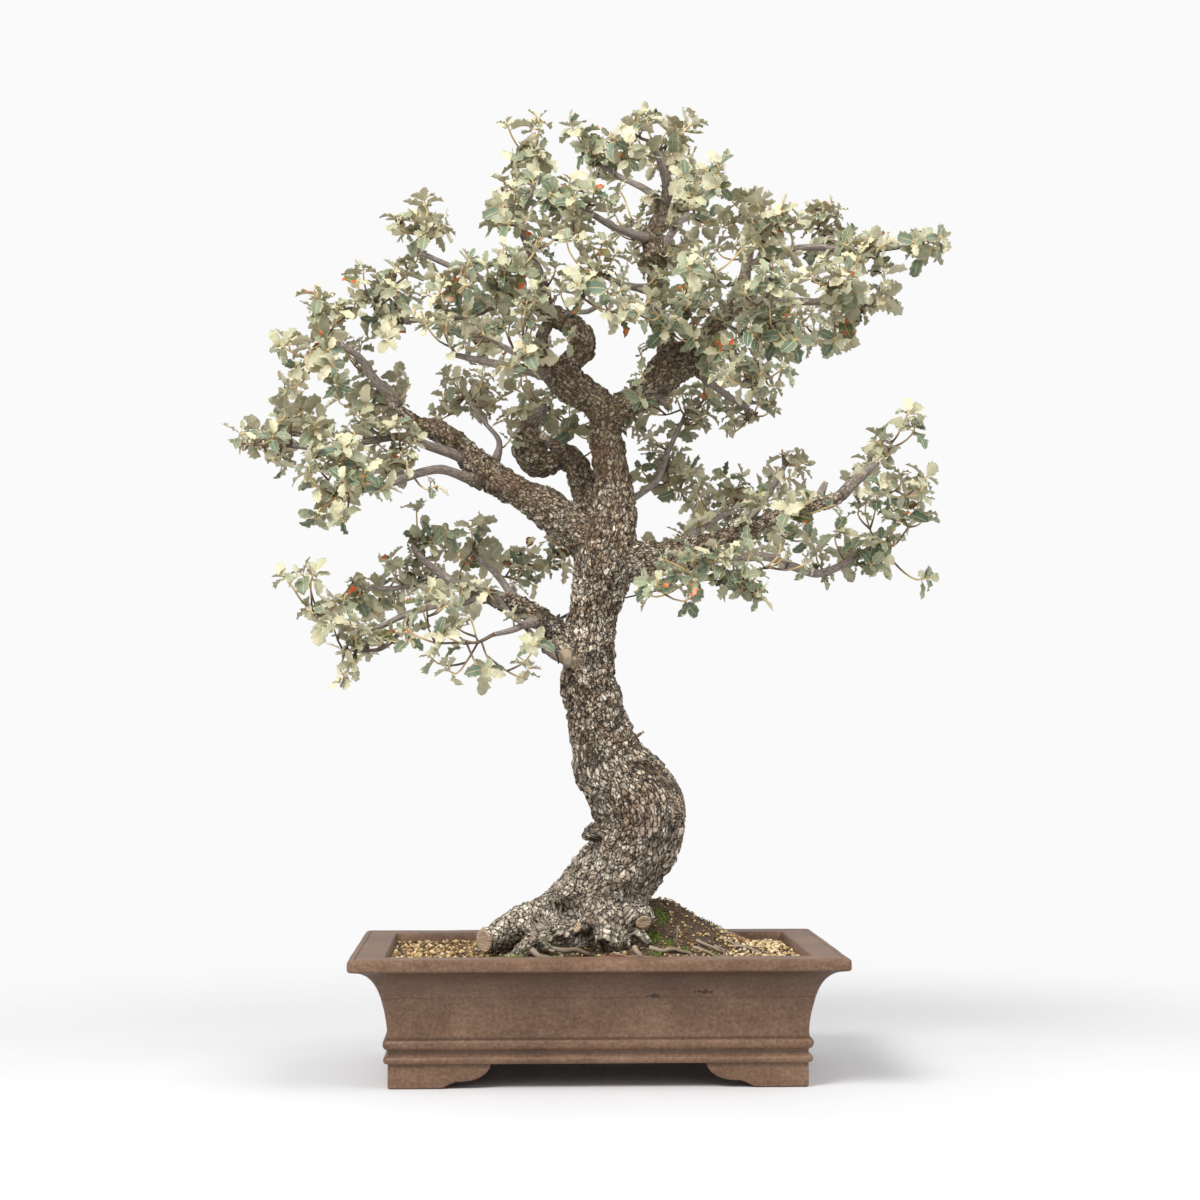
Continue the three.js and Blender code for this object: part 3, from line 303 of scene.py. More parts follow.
def tone(red: int, green: int, blue: int) -> Colour:
    """Turn a colour as seen on a screen, 0 to 255, into the linear colour that sockets take."""
    shares = (red / 255, green / 255, blue / 255)
    return (*(v / 12.92 if v <= 10 / 255 else ((v + 0.055) / 1.055) ** 2.4 for v in shares), 1.0)


def smoothstep(low: float, high: float, value: float | np.ndarray) -> float | np.ndarray:
    """Rise from 0 at low to 1 at high with level ends."""
    share = np.clip((value - low) / (high - low), 0.0, 1.0)
    return share * share * (3 - 2 * share)


def smooth_rows(rows: np.ndarray, step: float) -> np.ndarray:
    """Pass a smooth curve through rows whose first columns are a place.

    Args:
        rows: one row a point, the place first and any other numbers after it.
        step: the spacing of the samples along the curve, in the place's unit.

    Returns:
        The samples, with every column smoothed alike.
    """
    size = min(3, rows.shape[1])
    ends = np.vstack([2 * rows[0] - rows[1], rows, 2 * rows[-1] - rows[-2]])
    samples = []
    for p0, p1, p2, p3 in zip(ends, ends[1:], ends[2:], ends[3:]):
        pairs = ((p0, p1), (p1, p2), (p2, p3))
        gaps = [max(1e-6, float(np.linalg.norm((b - a)[:size]))) for a, b in pairs]
        t0, t1, t2, t3 = np.cumsum([0.0, *[gap**0.5 for gap in gaps]])
        for t in np.linspace(t1, t2, max(1, round(gaps[1] / step)), endpoint=False):
            a1 = ((t1 - t) * p0 + (t - t0) * p1) / (t1 - t0)
            a2 = ((t2 - t) * p1 + (t - t1) * p2) / (t2 - t1)
            a3 = ((t3 - t) * p2 + (t - t2) * p3) / (t3 - t2)
            b1 = ((t2 - t) * a1 + (t - t0) * a2) / (t2 - t0)
            b2 = ((t3 - t) * a2 + (t - t1) * a3) / (t3 - t1)
            samples.append(((t2 - t) * b1 + (t - t1) * b2) / (t2 - t1))
    samples.append(rows[-1])
    return np.array(samples)


class Stand:
    """The place of the pot's middle in the frame, which every drawn point is counted from."""

    def __init__(self) -> None:
        """Read the pot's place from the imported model."""
        low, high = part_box("pot")
        self.origin = Vector(((low.x + high.x) / 2, (low.y + high.y) / 2, low.z))

    def at(self, x: float, y: float, z: float) -> Vector:
        """Turn millimetres from the pot's middle into a place in the frame."""
        return self.origin + Vector((x, y, z)) * MM

    def seen(self, x: float, depth: float, z: float) -> Vector:
        """Move a point that is seen against the trunk's plane along its sight by a depth."""
        stretch = -depth / EYE[1]
        return self.at(x + (x - EYE[0]) * stretch, depth, z + (z - EYE[2]) * stretch)

    def against(self, place: Vector) -> tuple[float, float]:
        """Tell where a place is seen against the trunk's plane, as x and z in millimetres.

        Args:
            place: the place in the frame.

        Returns:
            The seen x and z.
        """
        local = (place - self.origin) / MM
        share = EYE[1] / (EYE[1] - local.y)
        return EYE[0] + (local.x - EYE[0]) * share, EYE[2] + (local.z - EYE[2]) * share


@dataclass
class Path:
    """A smooth line through space with a thickness and a frame at each sample.

    Attributes:
        centres: the samples' places, in metres.
        radii: the thickness at each sample, in metres.
    """

    centres: np.ndarray
    radii: np.ndarray
    tangents: np.ndarray = field(init=False)
    across: np.ndarray = field(init=False)
    beside: np.ndarray = field(init=False)
    arc: np.ndarray = field(init=False)

    def __post_init__(self) -> None:
        """Carry a frame along the line without twist."""
        self.tangents = np.gradient(self.centres, axis=0)
        self.tangents /= np.linalg.norm(self.tangents, axis=1, keepdims=True)
        across = np.array([1.0, 0.0, 0.0])
        if abs(self.tangents[0] @ across) > 0.9:
            across = np.array([0.0, 1.0, 0.0])
        carried = []
        for tangent in self.tangents:
            across = across - tangent * (across @ tangent)
            across /= np.linalg.norm(across)
            carried.append(across)
        self.across = np.array(carried)
        self.beside = np.cross(self.tangents, self.across)
        steps = np.linalg.norm(np.diff(self.centres, axis=0), axis=1)
        self.arc = np.concatenate([[0.0], np.cumsum(steps)])

    @classmethod
    def through(cls, points: Sequence[Vector], radii: Sequence[float], step: float) -> "Path":
        """Draw a smooth line through places with a thickness at each.

        Args:
            points: the places in metres.
            radii: the thickness at each place in metres.
            step: the spacing of the samples in metres.

        Returns:
            The sampled line.
        """
        rows = np.array([[*point, radius] for point, radius in zip(points, radii)])
        rows = smooth_rows(rows, step)
        return cls(rows[:, :3], np.maximum(rows[:, 3], 0.2 * MM))

    def part(self, first: int, last: int) -> "Path":
        """Cut a stretch of samples out as a line of its own."""
        return Path(self.centres[first:last], self.radii[first:last])

    def point(self, share: float) -> Vector:
        """Give the place at a share of the samples."""
        return Vector(self.centres[round(share * (len(self.centres) - 1))])


def of_kind(parts: Iterable[object], kind: type) -> list:
    """Pick what is of one kind, such as corners or edges, out of an operator's result."""
    return [part for part in parts if isinstance(part, kind)]


def new_object(name: str, data: bpy.types.ID) -> bpy.types.Object:
    """Put a new object into the scene.

    Args:
        name: the object's name.
        data: its mesh, light or camera.

    Returns:
        The object.
    """
    made = bpy.data.objects.new(name, data)
    bpy.context.scene.collection.objects.link(made)
    return made


@functools.lru_cache(maxsize=None)
def straight_tube(sides: int, rings: int) -> bpy.types.Mesh:
    """Make a closed straight tube of radius 1 whose rings stand 1 apart, for bending along lines.

    Args:
        sides: the faces round the tube.
        rings: the rings of corners along it.

    Returns:
        The mesh, shared by all tubes of these numbers.
    """
    bm = bmesh.new()
    bmesh.ops.create_circle(bm, cap_ends=True, segments=sides, radius=1.0)
    rim = list(bm.edges)
    for _ in range(rings - 1):
        made = bmesh.ops.extrude_edge_only(bm, edges=rim)["geom"]
        corners = set(of_kind(made, bmesh.types.BMVert))
        bmesh.ops.translate(bm, vec=(0, 0, 1), verts=list(corners))
        rim = [edge for edge in of_kind(made, bmesh.types.BMEdge) if set(edge.verts) <= corners]
    bmesh.ops.contextual_create(bm, geom=rim)
    bmesh.ops.recalc_face_normals(bm, faces=bm.faces[:])
    return to_mesh(bm, f"tube_{sides}_{rings}")


def to_mesh(bm: bmesh.types.BMesh, name: str) -> bpy.types.Mesh:
    """Turn an edit mesh into a mesh with smooth faces and free it.

    Args:
        bm: the edit mesh.
        name: the mesh's name.

    Returns:
        The mesh.
    """
    for face in bm.faces:
        face.smooth = True
    mesh = bpy.data.meshes.new(name)
    bm.to_mesh(mesh)
    bm.free()
    return mesh


def add_copy(bm: bmesh.types.BMesh, mesh: bpy.types.Mesh) -> list[bmesh.types.BMVert]:
    """Add a copy of a mesh to an edit mesh and give its corners.

    Args:
        bm: the edit mesh.
        mesh: the mesh that is copied in.

    Returns:
        The copy's corners.
    """
    before = len(bm.verts)
    bm.from_mesh(mesh)
    bm.verts.ensure_lookup_table()
    return bm.verts[before:]


def add_tube(bm: bmesh.types.BMesh, path: Path, sides: int, age: tuple[float, float] | None = None) -> None:
    """Bend a closed tube along a line.

    Args:
        bm: the edit mesh that takes the tube.
        path: the line; each of its samples becomes a ring.
        sides: the faces round the tube.
        age: the values of the age layer at the tube's two ends, where the mesh has that layer.
    """
    layer = bm.verts.layers.float.get("age")
    last = len(path.centres) - 1
    for corner in add_copy(bm, straight_tube(sides, last + 1)):
        ring = round(corner.co.z)
        swing = path.across[ring] * corner.co.x + path.beside[ring] * corner.co.y
        corner.co = Vector(path.centres[ring] + path.radii[ring] * swing)
        if layer is not None and age is not None:
            corner[layer] = age[0] + (age[1] - age[0]) * ring / last


def finish_piece(
    name: str, mesh: bpy.types.Mesh, materials: Iterable[bpy.types.Material], slot: str, *nodes: str
) -> bpy.types.Object:
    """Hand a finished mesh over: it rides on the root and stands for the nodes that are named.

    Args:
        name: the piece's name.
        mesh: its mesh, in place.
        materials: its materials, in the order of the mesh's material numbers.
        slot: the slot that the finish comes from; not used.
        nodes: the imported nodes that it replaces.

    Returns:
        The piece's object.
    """
    piece = new_object(name, mesh)
    for material in materials:
        mesh.materials.append(material)
    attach(piece, "root")
    if nodes:
        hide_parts(*nodes)
    mesh.calc_loop_triangles()
    LOG.info("%s: %d triangles", name, len(mesh.loop_triangles))
    return piece


def modified(mesh: bpy.types.Mesh, *modifiers: tuple[str, dict[str, object]]) -> bpy.types.Mesh:
    """Run modifiers over a mesh and keep what they make.

    Args:
        mesh: the mesh to change, which is dropped.
        modifiers: each modifier's kind and its settings, in order.

    Returns:
        The new mesh.
    """
    holder = new_object("work", mesh)
    for kind, settings in modifiers:
        modifier = holder.modifiers.new(kind, kind)
        for key, value in settings.items():
            setattr(modifier, key, value)
    graph = bpy.context.evaluated_depsgraph_get()
    result = bpy.data.meshes.new_from_object(holder.evaluated_get(graph))
    bpy.data.objects.remove(holder)
    bpy.data.meshes.remove(mesh)
    return result


def columns(mesh: bpy.types.Mesh, normals: bool = False) -> np.ndarray:
    """Read the places, or the normals, of a mesh's corners as rows.

    Args:
        mesh: the mesh.
        normals: whether the normals are read.

    Returns:
        A row of three for each corner.
    """
    rows = np.empty(len(mesh.vertices) * 3, np.float32)
    if normals:
        mesh.vertex_normals.foreach_get("vector", rows)
    else:
        mesh.vertices.foreach_get("co", rows)
    return rows.reshape(-1, 3).astype(float)


def write_places(mesh: bpy.types.Mesh, rows: np.ndarray) -> None:
    """Write new places to a mesh's corners."""
    mesh.vertices.foreach_set("co", rows.astype(np.float32).ravel())
    mesh.update()


def fill_layer(corners: Iterable[bmesh.types.BMVert], layer: bmesh.types.BMLayerItem, value: float) -> None:
    """Give all corners one value in a layer."""
    for corner in corners:
        corner[layer] = value


def write_values(mesh: bpy.types.Mesh, name: str, values: np.ndarray) -> None:
    """Store one number, or one vector, for each corner of a mesh under a name.

    Args:
        mesh: the mesh.
        name: the name.
        values: a number or a row of three for each corner.
    """
    kind, key = ("FLOAT_VECTOR", "vector") if values.ndim == 2 else ("FLOAT", "value")
    layer = mesh.attributes.new(name, kind, "POINT")
    layer.data.foreach_set(key, values.astype(np.float32).ravel())


@dataclass(frozen=True, eq=False)
class Signal:
    """A node's output, which can be added and multiplied like a number.

    Attributes:
        recipe: the node tree that it belongs to.
        socket: the node's output socket.
    """

    recipe: "Recipe"
    socket: bpy.types.NodeSocket

    def __add__(self, other: "Signal | float") -> "Signal":
        """Add another signal or a number."""
        return self.recipe.maths("ADD", self, other)

    def __sub__(self, other: "Signal | float") -> "Signal":
        """Take another signal or a number away."""
        return self.recipe.maths("SUBTRACT", self, other)

    def __rsub__(self, other: float) -> "Signal":
        """Take this signal away from a number."""
        return self.recipe.maths("SUBTRACT", other, self)

    def __mul__(self, other: "Signal | float") -> "Signal":
        """Multiply by another signal or a number."""
        return self.recipe.maths("MULTIPLY", self, other)

    def __or__(self, other: "Signal") -> "Signal":
        """Give the larger of two signals."""
        return self.recipe.maths("MAXIMUM", self, other)

    def __abs__(self) -> "Signal":
        """Drop the sign."""
        return self.recipe.maths("ABSOLUTE", self)


class Recipe:
    """A material's node tree, built one node at a time."""

    def __init__(self, name: str, roughness: float) -> None:
        """Start from the shader that a new material has.

        Args:
            name: the material's name.
            roughness: the shader's roughness.
        """
        self.material = bpy.data.materials.new(name)
        self.material.use_nodes = True
        self.tree = self.material.node_tree
        self.shader = self.tree.nodes["Principled BSDF"]
        self.shader.inputs["Roughness"].default_value = roughness
        self.place = self.read("ShaderNodeTexCoord", "Object", {})

    def read(
        self, kind: str, output: str | int, inputs: dict[str | int, object], **settings: object
    ) -> Signal:
        """Add a node and give one of its outputs.

        Args:
            kind: the node's type.
            output: the output's name or number.
            inputs: a value or a signal for each named or numbered input.
            settings: the node's own options.

        Returns:
            The output.
        """
        made = self.tree.nodes.new(kind)
        for key, value in settings.items():
            setattr(made, key, value)
        for key, value in inputs.items():
            self.feed(made.inputs[key], value)
        return Signal(self, made.outputs[output])

    def feed(self, socket: bpy.types.NodeSocket, value: object) -> None:
        """Link an input to a signal, or set its own value.

        Args:
            socket: the input.
            value: the signal or the value.
        """
        if isinstance(value, Signal):
            self.tree.links.new(value.socket, socket)
        else:
            socket.default_value = value

    def noise(self, scale: float, detail: float, rough: float, place: Signal | None = None) -> Signal:
        """Give a cloudy value between 0 and 1."""
        inputs = {"Vector": place or self.place, "Scale": scale, "Detail": detail, "Roughness": rough}
        return self.read("ShaderNodeTexNoise", "Fac", inputs)

    def stretched(self, place: Signal, *scale: float) -> Signal:
        """Stretch a pattern's place along the three axes."""
        return self.read("ShaderNodeMapping", "Vector", {"Vector": place, "Scale": scale})

    def axis(self, place: Signal, name: str) -> Signal:
        """Give one number of a place, by its axis."""
        return self.read("ShaderNodeSeparateXYZ", name, {"Vector": place})

    def length(self, place: Signal) -> Signal:
        """Give a place's distance from the middle."""
        return self.read("ShaderNodeVectorMath", "Value", {0: place}, operation="LENGTH")

    def ramp(self, value: Signal, *stops: tuple[float, Colour]) -> Signal:
        """Turn a value into a colour.

        Args:
            value: the value.
            stops: positions with their colours, in order.

        Returns:
            The colour.
        """
        colour = self.read("ShaderNodeValToRGB", "Color", {"Fac": value})
        line = colour.socket.node.color_ramp.elements
        for number, (position, shade) in enumerate(stops):
            stop = line[number] if number < 2 else line.new(position)
            stop.position, stop.color = position, shade
        return colour

    def band(self, value: Signal, low: float, high: float) -> Signal:
        """Stretch a value so that low becomes 0 and high becomes 1, with level ends."""
        inputs = {"Value": value, "From Min": low, "From Max": high}
        return self.read("ShaderNodeMapRange", "Result", inputs, interpolation_type="SMOOTHSTEP")

    def mix(self, share: Signal, first: Signal | Colour, second: Signal | Colour) -> Signal:
        """Mix two colours by a share."""
        return self.read("ShaderNodeMix", 2, {0: share, 6: first, 7: second}, data_type="RGBA")

    def maths(self, operation: str, first: Signal | float, second: Signal | float = 0.0) -> Signal:
        """Work out one number from two."""
        return self.read("ShaderNodeMath", 0, {0: first, 1: second}, operation=operation)

    def attribute(self, name: str, output: str = "Fac") -> Signal:
        """Read what a mesh stores under a name."""
        return self.read("ShaderNodeAttribute", output, {}, attribute_name=name)

    def cells(self, place: Signal, scale: float, feature: str = "F1", output: str = "Distance") -> Signal:
        """Give a pattern of cells."""
        return self.read("ShaderNodeTexVoronoi", output, {"Vector": place, "Scale": scale}, feature=feature)

    def bump(self, height: Signal, distance: float, strength: float) -> Signal:
        """Raise the surface by a height between 0 and 1 times a distance in metres."""
        inputs = {"Height": height, "Distance": distance, "Strength": strength}
        return self.read("ShaderNodeBump", "Normal", inputs)

    def done(
        self, colour: Signal, normal: Signal | None = None, rough: Signal | None = None
    ) -> bpy.types.Material:
        """Feed the shader.

        Args:
            colour: the surface's colour.
            normal: its raised normal, if any.
            rough: its roughness, where that varies.

        Returns:
            The material.
        """
        for name, value in (("Base Color", colour), ("Normal", normal), ("Roughness", rough)):
            if value is not None:
                self.feed(self.shader.inputs[name], value)
        return self.material


@dataclass(frozen=True)
class BarkFinish:
    """Corky grey-brown bark on old wood that turns to smooth grey on the branches."""

    # The colour of the fissures, also used for the painted shade in the hollows
    crack_and_hollow_shade: Colour = tone(32, 23, 15)
    deep: Colour = tone(108, 84, 60)
    middle: Colour = tone(186, 163, 134)
    pale: Colour = tone(250, 238, 218)
    rust: Colour = tone(110, 76, 58)
    lichen: Colour = tone(148, 145, 98)
    moss: Colour = tone(74, 92, 34)
    twig_dark: Colour = tone(96, 84, 76)
    twig_pale: Colour = tone(168, 156, 147)
    callus: Colour = tone(176, 156, 128)

    def material(self) -> bpy.types.Material:
        """Build the bark: small raised plates between dark cracks, laid along each limb.

        Returns:
            The material.
        """
        recipe = Recipe("bark", 0.92)
        along = recipe.attribute("bark_place", "Vector")
        corky = recipe.attribute("corky")
        stray = recipe.read("ShaderNodeTexNoise", "Color", {"Vector": along, "Scale": 2.2, "Detail": 4.0})
        shift = recipe.read("ShaderNodeVectorMath", "Vector", {0: stray, 3: 0.5}, operation="SCALE")
        warped = recipe.read("ShaderNodeVectorMath", "Vector", {0: along, 1: shift}, operation="ADD")
        warped = recipe.stretched(warped, 1.0, 1.0, 0.7)
        fray = (recipe.noise(6.5, 5.0, 0.75, along) - 0.5) * 0.62
        plates = recipe.cells(warped, 1.95, "DISTANCE_TO_EDGE") + fray
        chips = recipe.cells(warped, 4.1, "DISTANCE_TO_EDGE") + fray
        fine = recipe.band(plates, 0.0, 0.14)
        lot, chip = (recipe.cells(warped, scale, "F1", "Color") for scale in (1.95, 4.1))
        grain = recipe.noise(560.0, 6.0, 0.8)
        worth = lot * 0.16 + recipe.noise(34.0, 5.0, 0.7) * 0.3 + chip * 0.16 + grain * 0.38
        shade = recipe.ramp(worth, (0.41, self.deep), (0.49, self.middle), (0.57, self.pale))
        shade = recipe.mix((1.0 - recipe.band(chips, -0.01, 0.12)) * 0.62, shade, self.crack_and_hollow_shade)
        # Dark in the fissures between plates and, as painted shade, in the hollows between the roots
        shade = recipe.mix((1.0 - recipe.attribute("plate")) * 0.75, shade, self.crack_and_hollow_shade)
        red = recipe.band(recipe.noise(21.0, 3.0, 0.5), 0.54, 0.66)
        shade = recipe.mix(red * 0.5, shade, self.rust)
        cork = recipe.mix(1.0 - fine, shade, self.crack_and_hollow_shade)
        streaks = recipe.noise(1.0, 5.0, 0.65, recipe.stretched(along, 5.0, 5.0, 1.2))
        smooth = recipe.ramp(streaks, (0.35, self.twig_dark), (0.65, self.twig_pale))
        height = recipe.axis(recipe.place, "Z")
        cork = recipe.mix(recipe.band(height, 0.46, 0.62) * 0.42, cork, self.deep)
        colour = recipe.mix(corky, smooth, cork)
        spots = recipe.band(recipe.noise(150.0, 5.0, 0.6), 0.53, 0.62)
        upper = recipe.band(height, 0.44, 0.6) * spots * corky * 0.6
        colour = recipe.mix(upper * fine, colour, self.lichen)
        low = 1.0 - recipe.band(height, 0.13, 0.26)
        colour = recipe.mix(low * fine * 0.2, colour, self.pale)
        foot = (1.0 - recipe.band(height, 0.112, 0.15)) * spots
        colour = recipe.mix(foot * 0.7, colour, self.moss)
        colour = recipe.mix(recipe.attribute("callus"), colour, self.callus)
        return recipe.done(colour, recipe.bump(fine * corky + grain * 0.6 + streaks * 0.2, 0.0011, 0.9))


@dataclass(frozen=True)
class LeafFinish:
    """The waxy upper face of a leaf, with its midrib and side veins.

    Attributes:
        name: the material's name.
        shades: three colours from the greenest to the palest leaf of a spray.
        gloss: how smooth the wax is.
    """

    name: str
    shades: tuple[Colour, Colour, Colour]
    gloss: float = 0.5
    # The veins' colour, also laid on the pale margin, which is partly a painted highlight
    rib: Colour = tone(216, 192, 142)
    dry: Colour = tone(150, 118, 78)

    def veins(self, recipe: Recipe) -> tuple[Signal, Signal, Signal]:
        """Draw the midrib and the slanting side veins on the blade's own map.

        Args:
            recipe: the leaf's node tree.

        Returns:
            The midrib, the side veins, and the distance from the midrib.
        """
        blade = recipe.read("ShaderNodeUVMap", "UV", {}, uv_map="leaf")
        off, along = abs(recipe.axis(blade, "X") - 0.5), recipe.axis(blade, "Y")
        rib = (1.0 - recipe.band(off, 0.012, 0.05)) | (1.0 - recipe.band(along, 0.14, 0.26))
        wave = recipe.maths("PINGPONG", along * 8.0 - off * 5.0, 0.5)
        return rib, (1.0 - recipe.band(wave, 0.02, 0.12)) * recipe.band(off, 0.02, 0.1), off

    def material(self) -> bpy.types.Material:
        """Build the upper face.

        Returns:
            The material.
        """
        recipe = Recipe(self.name, self.gloss)
        recipe.shader.inputs["Specular IOR Level"].default_value = 0.4
        rib, side, off = self.veins(recipe)
        tint = recipe.attribute("tint")
        mottle = recipe.noise(260.0, 5.0, 0.6)
        colour = recipe.ramp(tint * 0.8 + mottle * 0.2, *zip((0.23, 0.49, 0.78), self.shades))
        colour = recipe.mix(side * 0.3, colour, self.rib)
        colour = recipe.mix(rib * 0.8, colour, self.rib)
        # Pale margin: partly the blade's paler edge and partly a painted highlight along its curled rim
        colour = recipe.mix(recipe.band(off, 0.34, 0.48) * 0.55, colour, self.rib)
        worn = recipe.band(mottle, 0.62, 0.7) * 0.5
        colour = recipe.mix(worn * recipe.band(tint, 0.6, 0.9), colour, self.dry)
        return recipe.done(colour, recipe.bump(mottle * 0.5 - (rib | side), 0.0003, 0.8))


@dataclass(frozen=True)
class FeltFinish(LeafFinish):
    """The felted pale underside of a leaf, whose veins stand out."""

    def material(self) -> bpy.types.Material:
        """Build the underside.

        Returns:
            The material.
        """
        recipe = Recipe(self.name, 0.95)
        recipe.shader.inputs["Sheen Weight"].default_value = 0.25
        recipe.shader.inputs["Sheen Roughness"].default_value = 0.6
        rib, side, _ = self.veins(recipe)
        felt = recipe.noise(1500.0, 3.0, 0.8)
        value = recipe.attribute("tint") * 0.7 + felt * 0.3
        colour = recipe.ramp(value, *zip((0.15, 0.5, 0.85), self.shades))
        colour = recipe.mix((rib | side) * 0.55, colour, self.rib)
        return recipe.done(colour, recipe.bump(felt * 0.4 + (rib | side), 0.0003, 0.8))


@dataclass(frozen=True)
class SpottedFinish(LeafFinish):
    """An old dark green leaf with orange spots."""

    spot: Colour = tone(214, 92, 38)

    def material(self) -> bpy.types.Material:
        """Build the upper face of an old leaf.

        Returns:
            The material.
        """
        recipe = Recipe(self.name, self.gloss)
        rib, side, _ = self.veins(recipe)
        cloud = recipe.noise(120.0, 3.0, 0.6)
        colour = recipe.ramp(cloud, *zip((0.35, 0.5, 0.65), self.shades))
        colour = recipe.mix((rib | side) * 0.5, colour, self.rib)
        spots = 1.0 - recipe.band(recipe.cells(recipe.place, 110.0), 0.3, 0.44)
        colour = recipe.mix(spots * recipe.band(cloud, 0.42, 0.5), colour, self.spot)
        return recipe.done(colour, recipe.bump(rib + cloud, 0.0003, 0.8))


@dataclass(frozen=True)
class ShootFinish:
    """Downy straw-coloured shoots that turn grey-brown where they are older."""

    young: Colour = tone(214, 186, 132)
    old: Colour = tone(122, 104, 88)
    dark: Colour = tone(84, 68, 56)

    def material(self) -> bpy.types.Material:
        """Build the shoots' skin.

        Returns:
            The material.
        """
        recipe = Recipe("shoot", 0.85)
        cloud = recipe.noise(500.0, 4.0, 0.6)
        older = recipe.ramp(cloud, (0.4, self.dark), (0.6, self.old))
        share = recipe.band(recipe.attribute("age") + cloud * 0.4, 0.35, 0.9)
        return recipe.done(recipe.mix(share, self.young, older), recipe.bump(cloud, 0.0004, 0.7))


@dataclass(frozen=True)
class ClayFinish:
    """Unglazed brown clay, wiped along its sides and flecked where grit shows, with painted shade under the
    rim and in the grooves.
    """

    # Where the front is chipped, and the stretch that turns each chip into a ball, in metres
    SCARS = ((0.056, -0.15, 0.0835), (0.1, -0.15, 0.0865))
    SCAR_STRETCH = (110.0, 9.0, 420.0)
    # The height of each groove by a moulding and how far the painted shade spreads from it, in metres
    GROOVES = ((0.0318, 0.003), (0.0447, 0.002))

    base: Colour = tone(111, 82, 60)
    dark: Colour = tone(88, 62, 44)
    light: Colour = tone(134, 105, 83)
    rust: Colour = tone(182, 128, 92)
    # Dark colour for the painted shade under the rim and in the grooves, and for the chips
    painted_shade_and_chip_dark: Colour = tone(58, 40, 28)
    chalk: Colour = tone(196, 180, 164)

    def material(self) -> bpy.types.Material:
        """Build the clay.

        Returns:
            The material.
        """
        recipe = Recipe("clay", 0.72)
        cloud = recipe.noise(14.0, 5.0, 0.6)
        wiped = recipe.noise(4.0, 5.0, 0.7, recipe.stretched(recipe.place, 8.0, 8.0, 60.0))
        grit = recipe.noise(430.0, 2.0, 0.6)
        speckle = recipe.noise(330.0, 5.0, 0.7)
        value = cloud * 0.38 + wiped * 0.14 + speckle * 0.48
        colour = recipe.ramp(value, (0.4, self.dark), (0.5, self.base), (0.61, self.light))
        height = recipe.axis(recipe.place, "Z")
        # Painted shade: the cove under the rim is darkened as if the rim shadowed it
        under_rim_shade = recipe.band(height, 0.078, 0.104) * (1.0 - recipe.band(height, 0.107, 0.109))
        colour = recipe.mix(under_rim_shade * 0.62, colour, self.painted_shade_and_chip_dark)
        # Painted shade: a dark line along each groove between the mouldings
        for level, reach in self.GROOVES:
            colour = recipe.mix(recipe.band(abs(height - level), reach, reach / 3) * 0.5, colour, self.painted_shade_and_chip_dark)
        for scar in self.SCARS:
            centre = tuple(-near * scale for near, scale in zip(scar, self.SCAR_STRETCH))
            inputs = {"Vector": recipe.place, "Location": centre, "Scale": self.SCAR_STRETCH}
            away = recipe.length(recipe.read("ShaderNodeMapping", "Vector", inputs)) + (speckle - 0.5) * 4.0
            colour = recipe.mix(1.0 - recipe.band(away, 0.5, 1.0), colour, self.painted_shade_and_chip_dark)
        colour = recipe.mix(recipe.band(grit, 0.7, 0.76) * 0.55, colour, self.rust)
        dust = recipe.band(recipe.noise(620.0, 4.0, 0.8), 0.64, 0.76)
        colour = recipe.mix(dust * recipe.band(cloud, 0.4, 0.62), colour, self.chalk)
        rough = recipe.read("ShaderNodeMapRange", "Result", {"Value": cloud, "To Min": 0.4, "To Max": 0.58})
        return recipe.done(colour, recipe.bump(wiped * 0.2 + grit * 0.35 + cloud, 0.0007, 0.8), rough)


@dataclass(frozen=True)
class EarthFinish:
    """Dark damp earth between the gravel."""

    wet: Colour = tone(40, 30, 21)
    dry: Colour = tone(112, 92, 70)
    moss: Colour = tone(86, 104, 38)

    def material(self) -> bpy.types.Material:
        """Build the earth.

        Returns:
            The material.
        """
        recipe = Recipe("earth", 0.97)
        crumbs = recipe.noise(420.0, 6.0, 0.75)
        colour = recipe.ramp(crumbs, (0.38, self.wet), (0.66, self.dry))
        colour = recipe.mix(recipe.attribute("moss") * 0.7, colour, self.moss)
        return recipe.done(colour, recipe.bump(crumbs, 0.002, 1.0))


@dataclass(frozen=True)
class SpreadFinish:
    """A scatter of small things whose colours run between given shades.

    Attributes:
        name: the material's name.
        shades: the colours in order of the tint that each thing carries.
        roughness: the shader's roughness.
        grain: the scale of the surface's own cloudiness.
        guide: the value on the mesh that picks the colour.
    """

    name: str
    shades: tuple[Colour, ...]
    roughness: float = 0.85
    grain: float = 900.0
    guide: str = "tint"

    def material(self) -> bpy.types.Material:
        """Build the scatter's surface.

        Returns:
            The material.
        """
        recipe = Recipe(self.name, self.roughness)
        cloud = recipe.noise(self.grain, 4.0, 0.6)
        last = len(self.shades) - 1
        stops = [(0.1 + 0.95 * n / last, shade) for n, shade in enumerate(self.shades)]
        colour = recipe.ramp(recipe.attribute(self.guide) + cloud * 0.25, *stops)
        return recipe.done(colour, recipe.bump(cloud, 0.0004, 0.8))


@dataclass(frozen=True)
class CutWoodFinish:
    """A weathered saw cut with its rings and drying cracks."""

    pale: Colour = tone(196, 174, 146)
    dark: Colour = tone(128, 102, 78)

    def material(self) -> bpy.types.Material:
        """Build the cut wood.

        Returns:
            The material.
        """
        recipe = Recipe("cut_wood", 0.9)
        inputs = {"Vector": recipe.place, "Scale": 160.0, "Distortion": 6.0}
        inputs |= {"Detail": 3.0, "Detail Scale": 2.0}
        rings = recipe.read("ShaderNodeTexWave", "Fac", inputs, wave_type="RINGS")
        value = rings * 0.35 + recipe.noise(300.0, 5.0, 0.7) * 0.65
        colour = recipe.ramp(value, (0.35, self.dark), (0.6, self.pale))
        return recipe.done(colour, recipe.bump(value, 0.0006, 0.8))


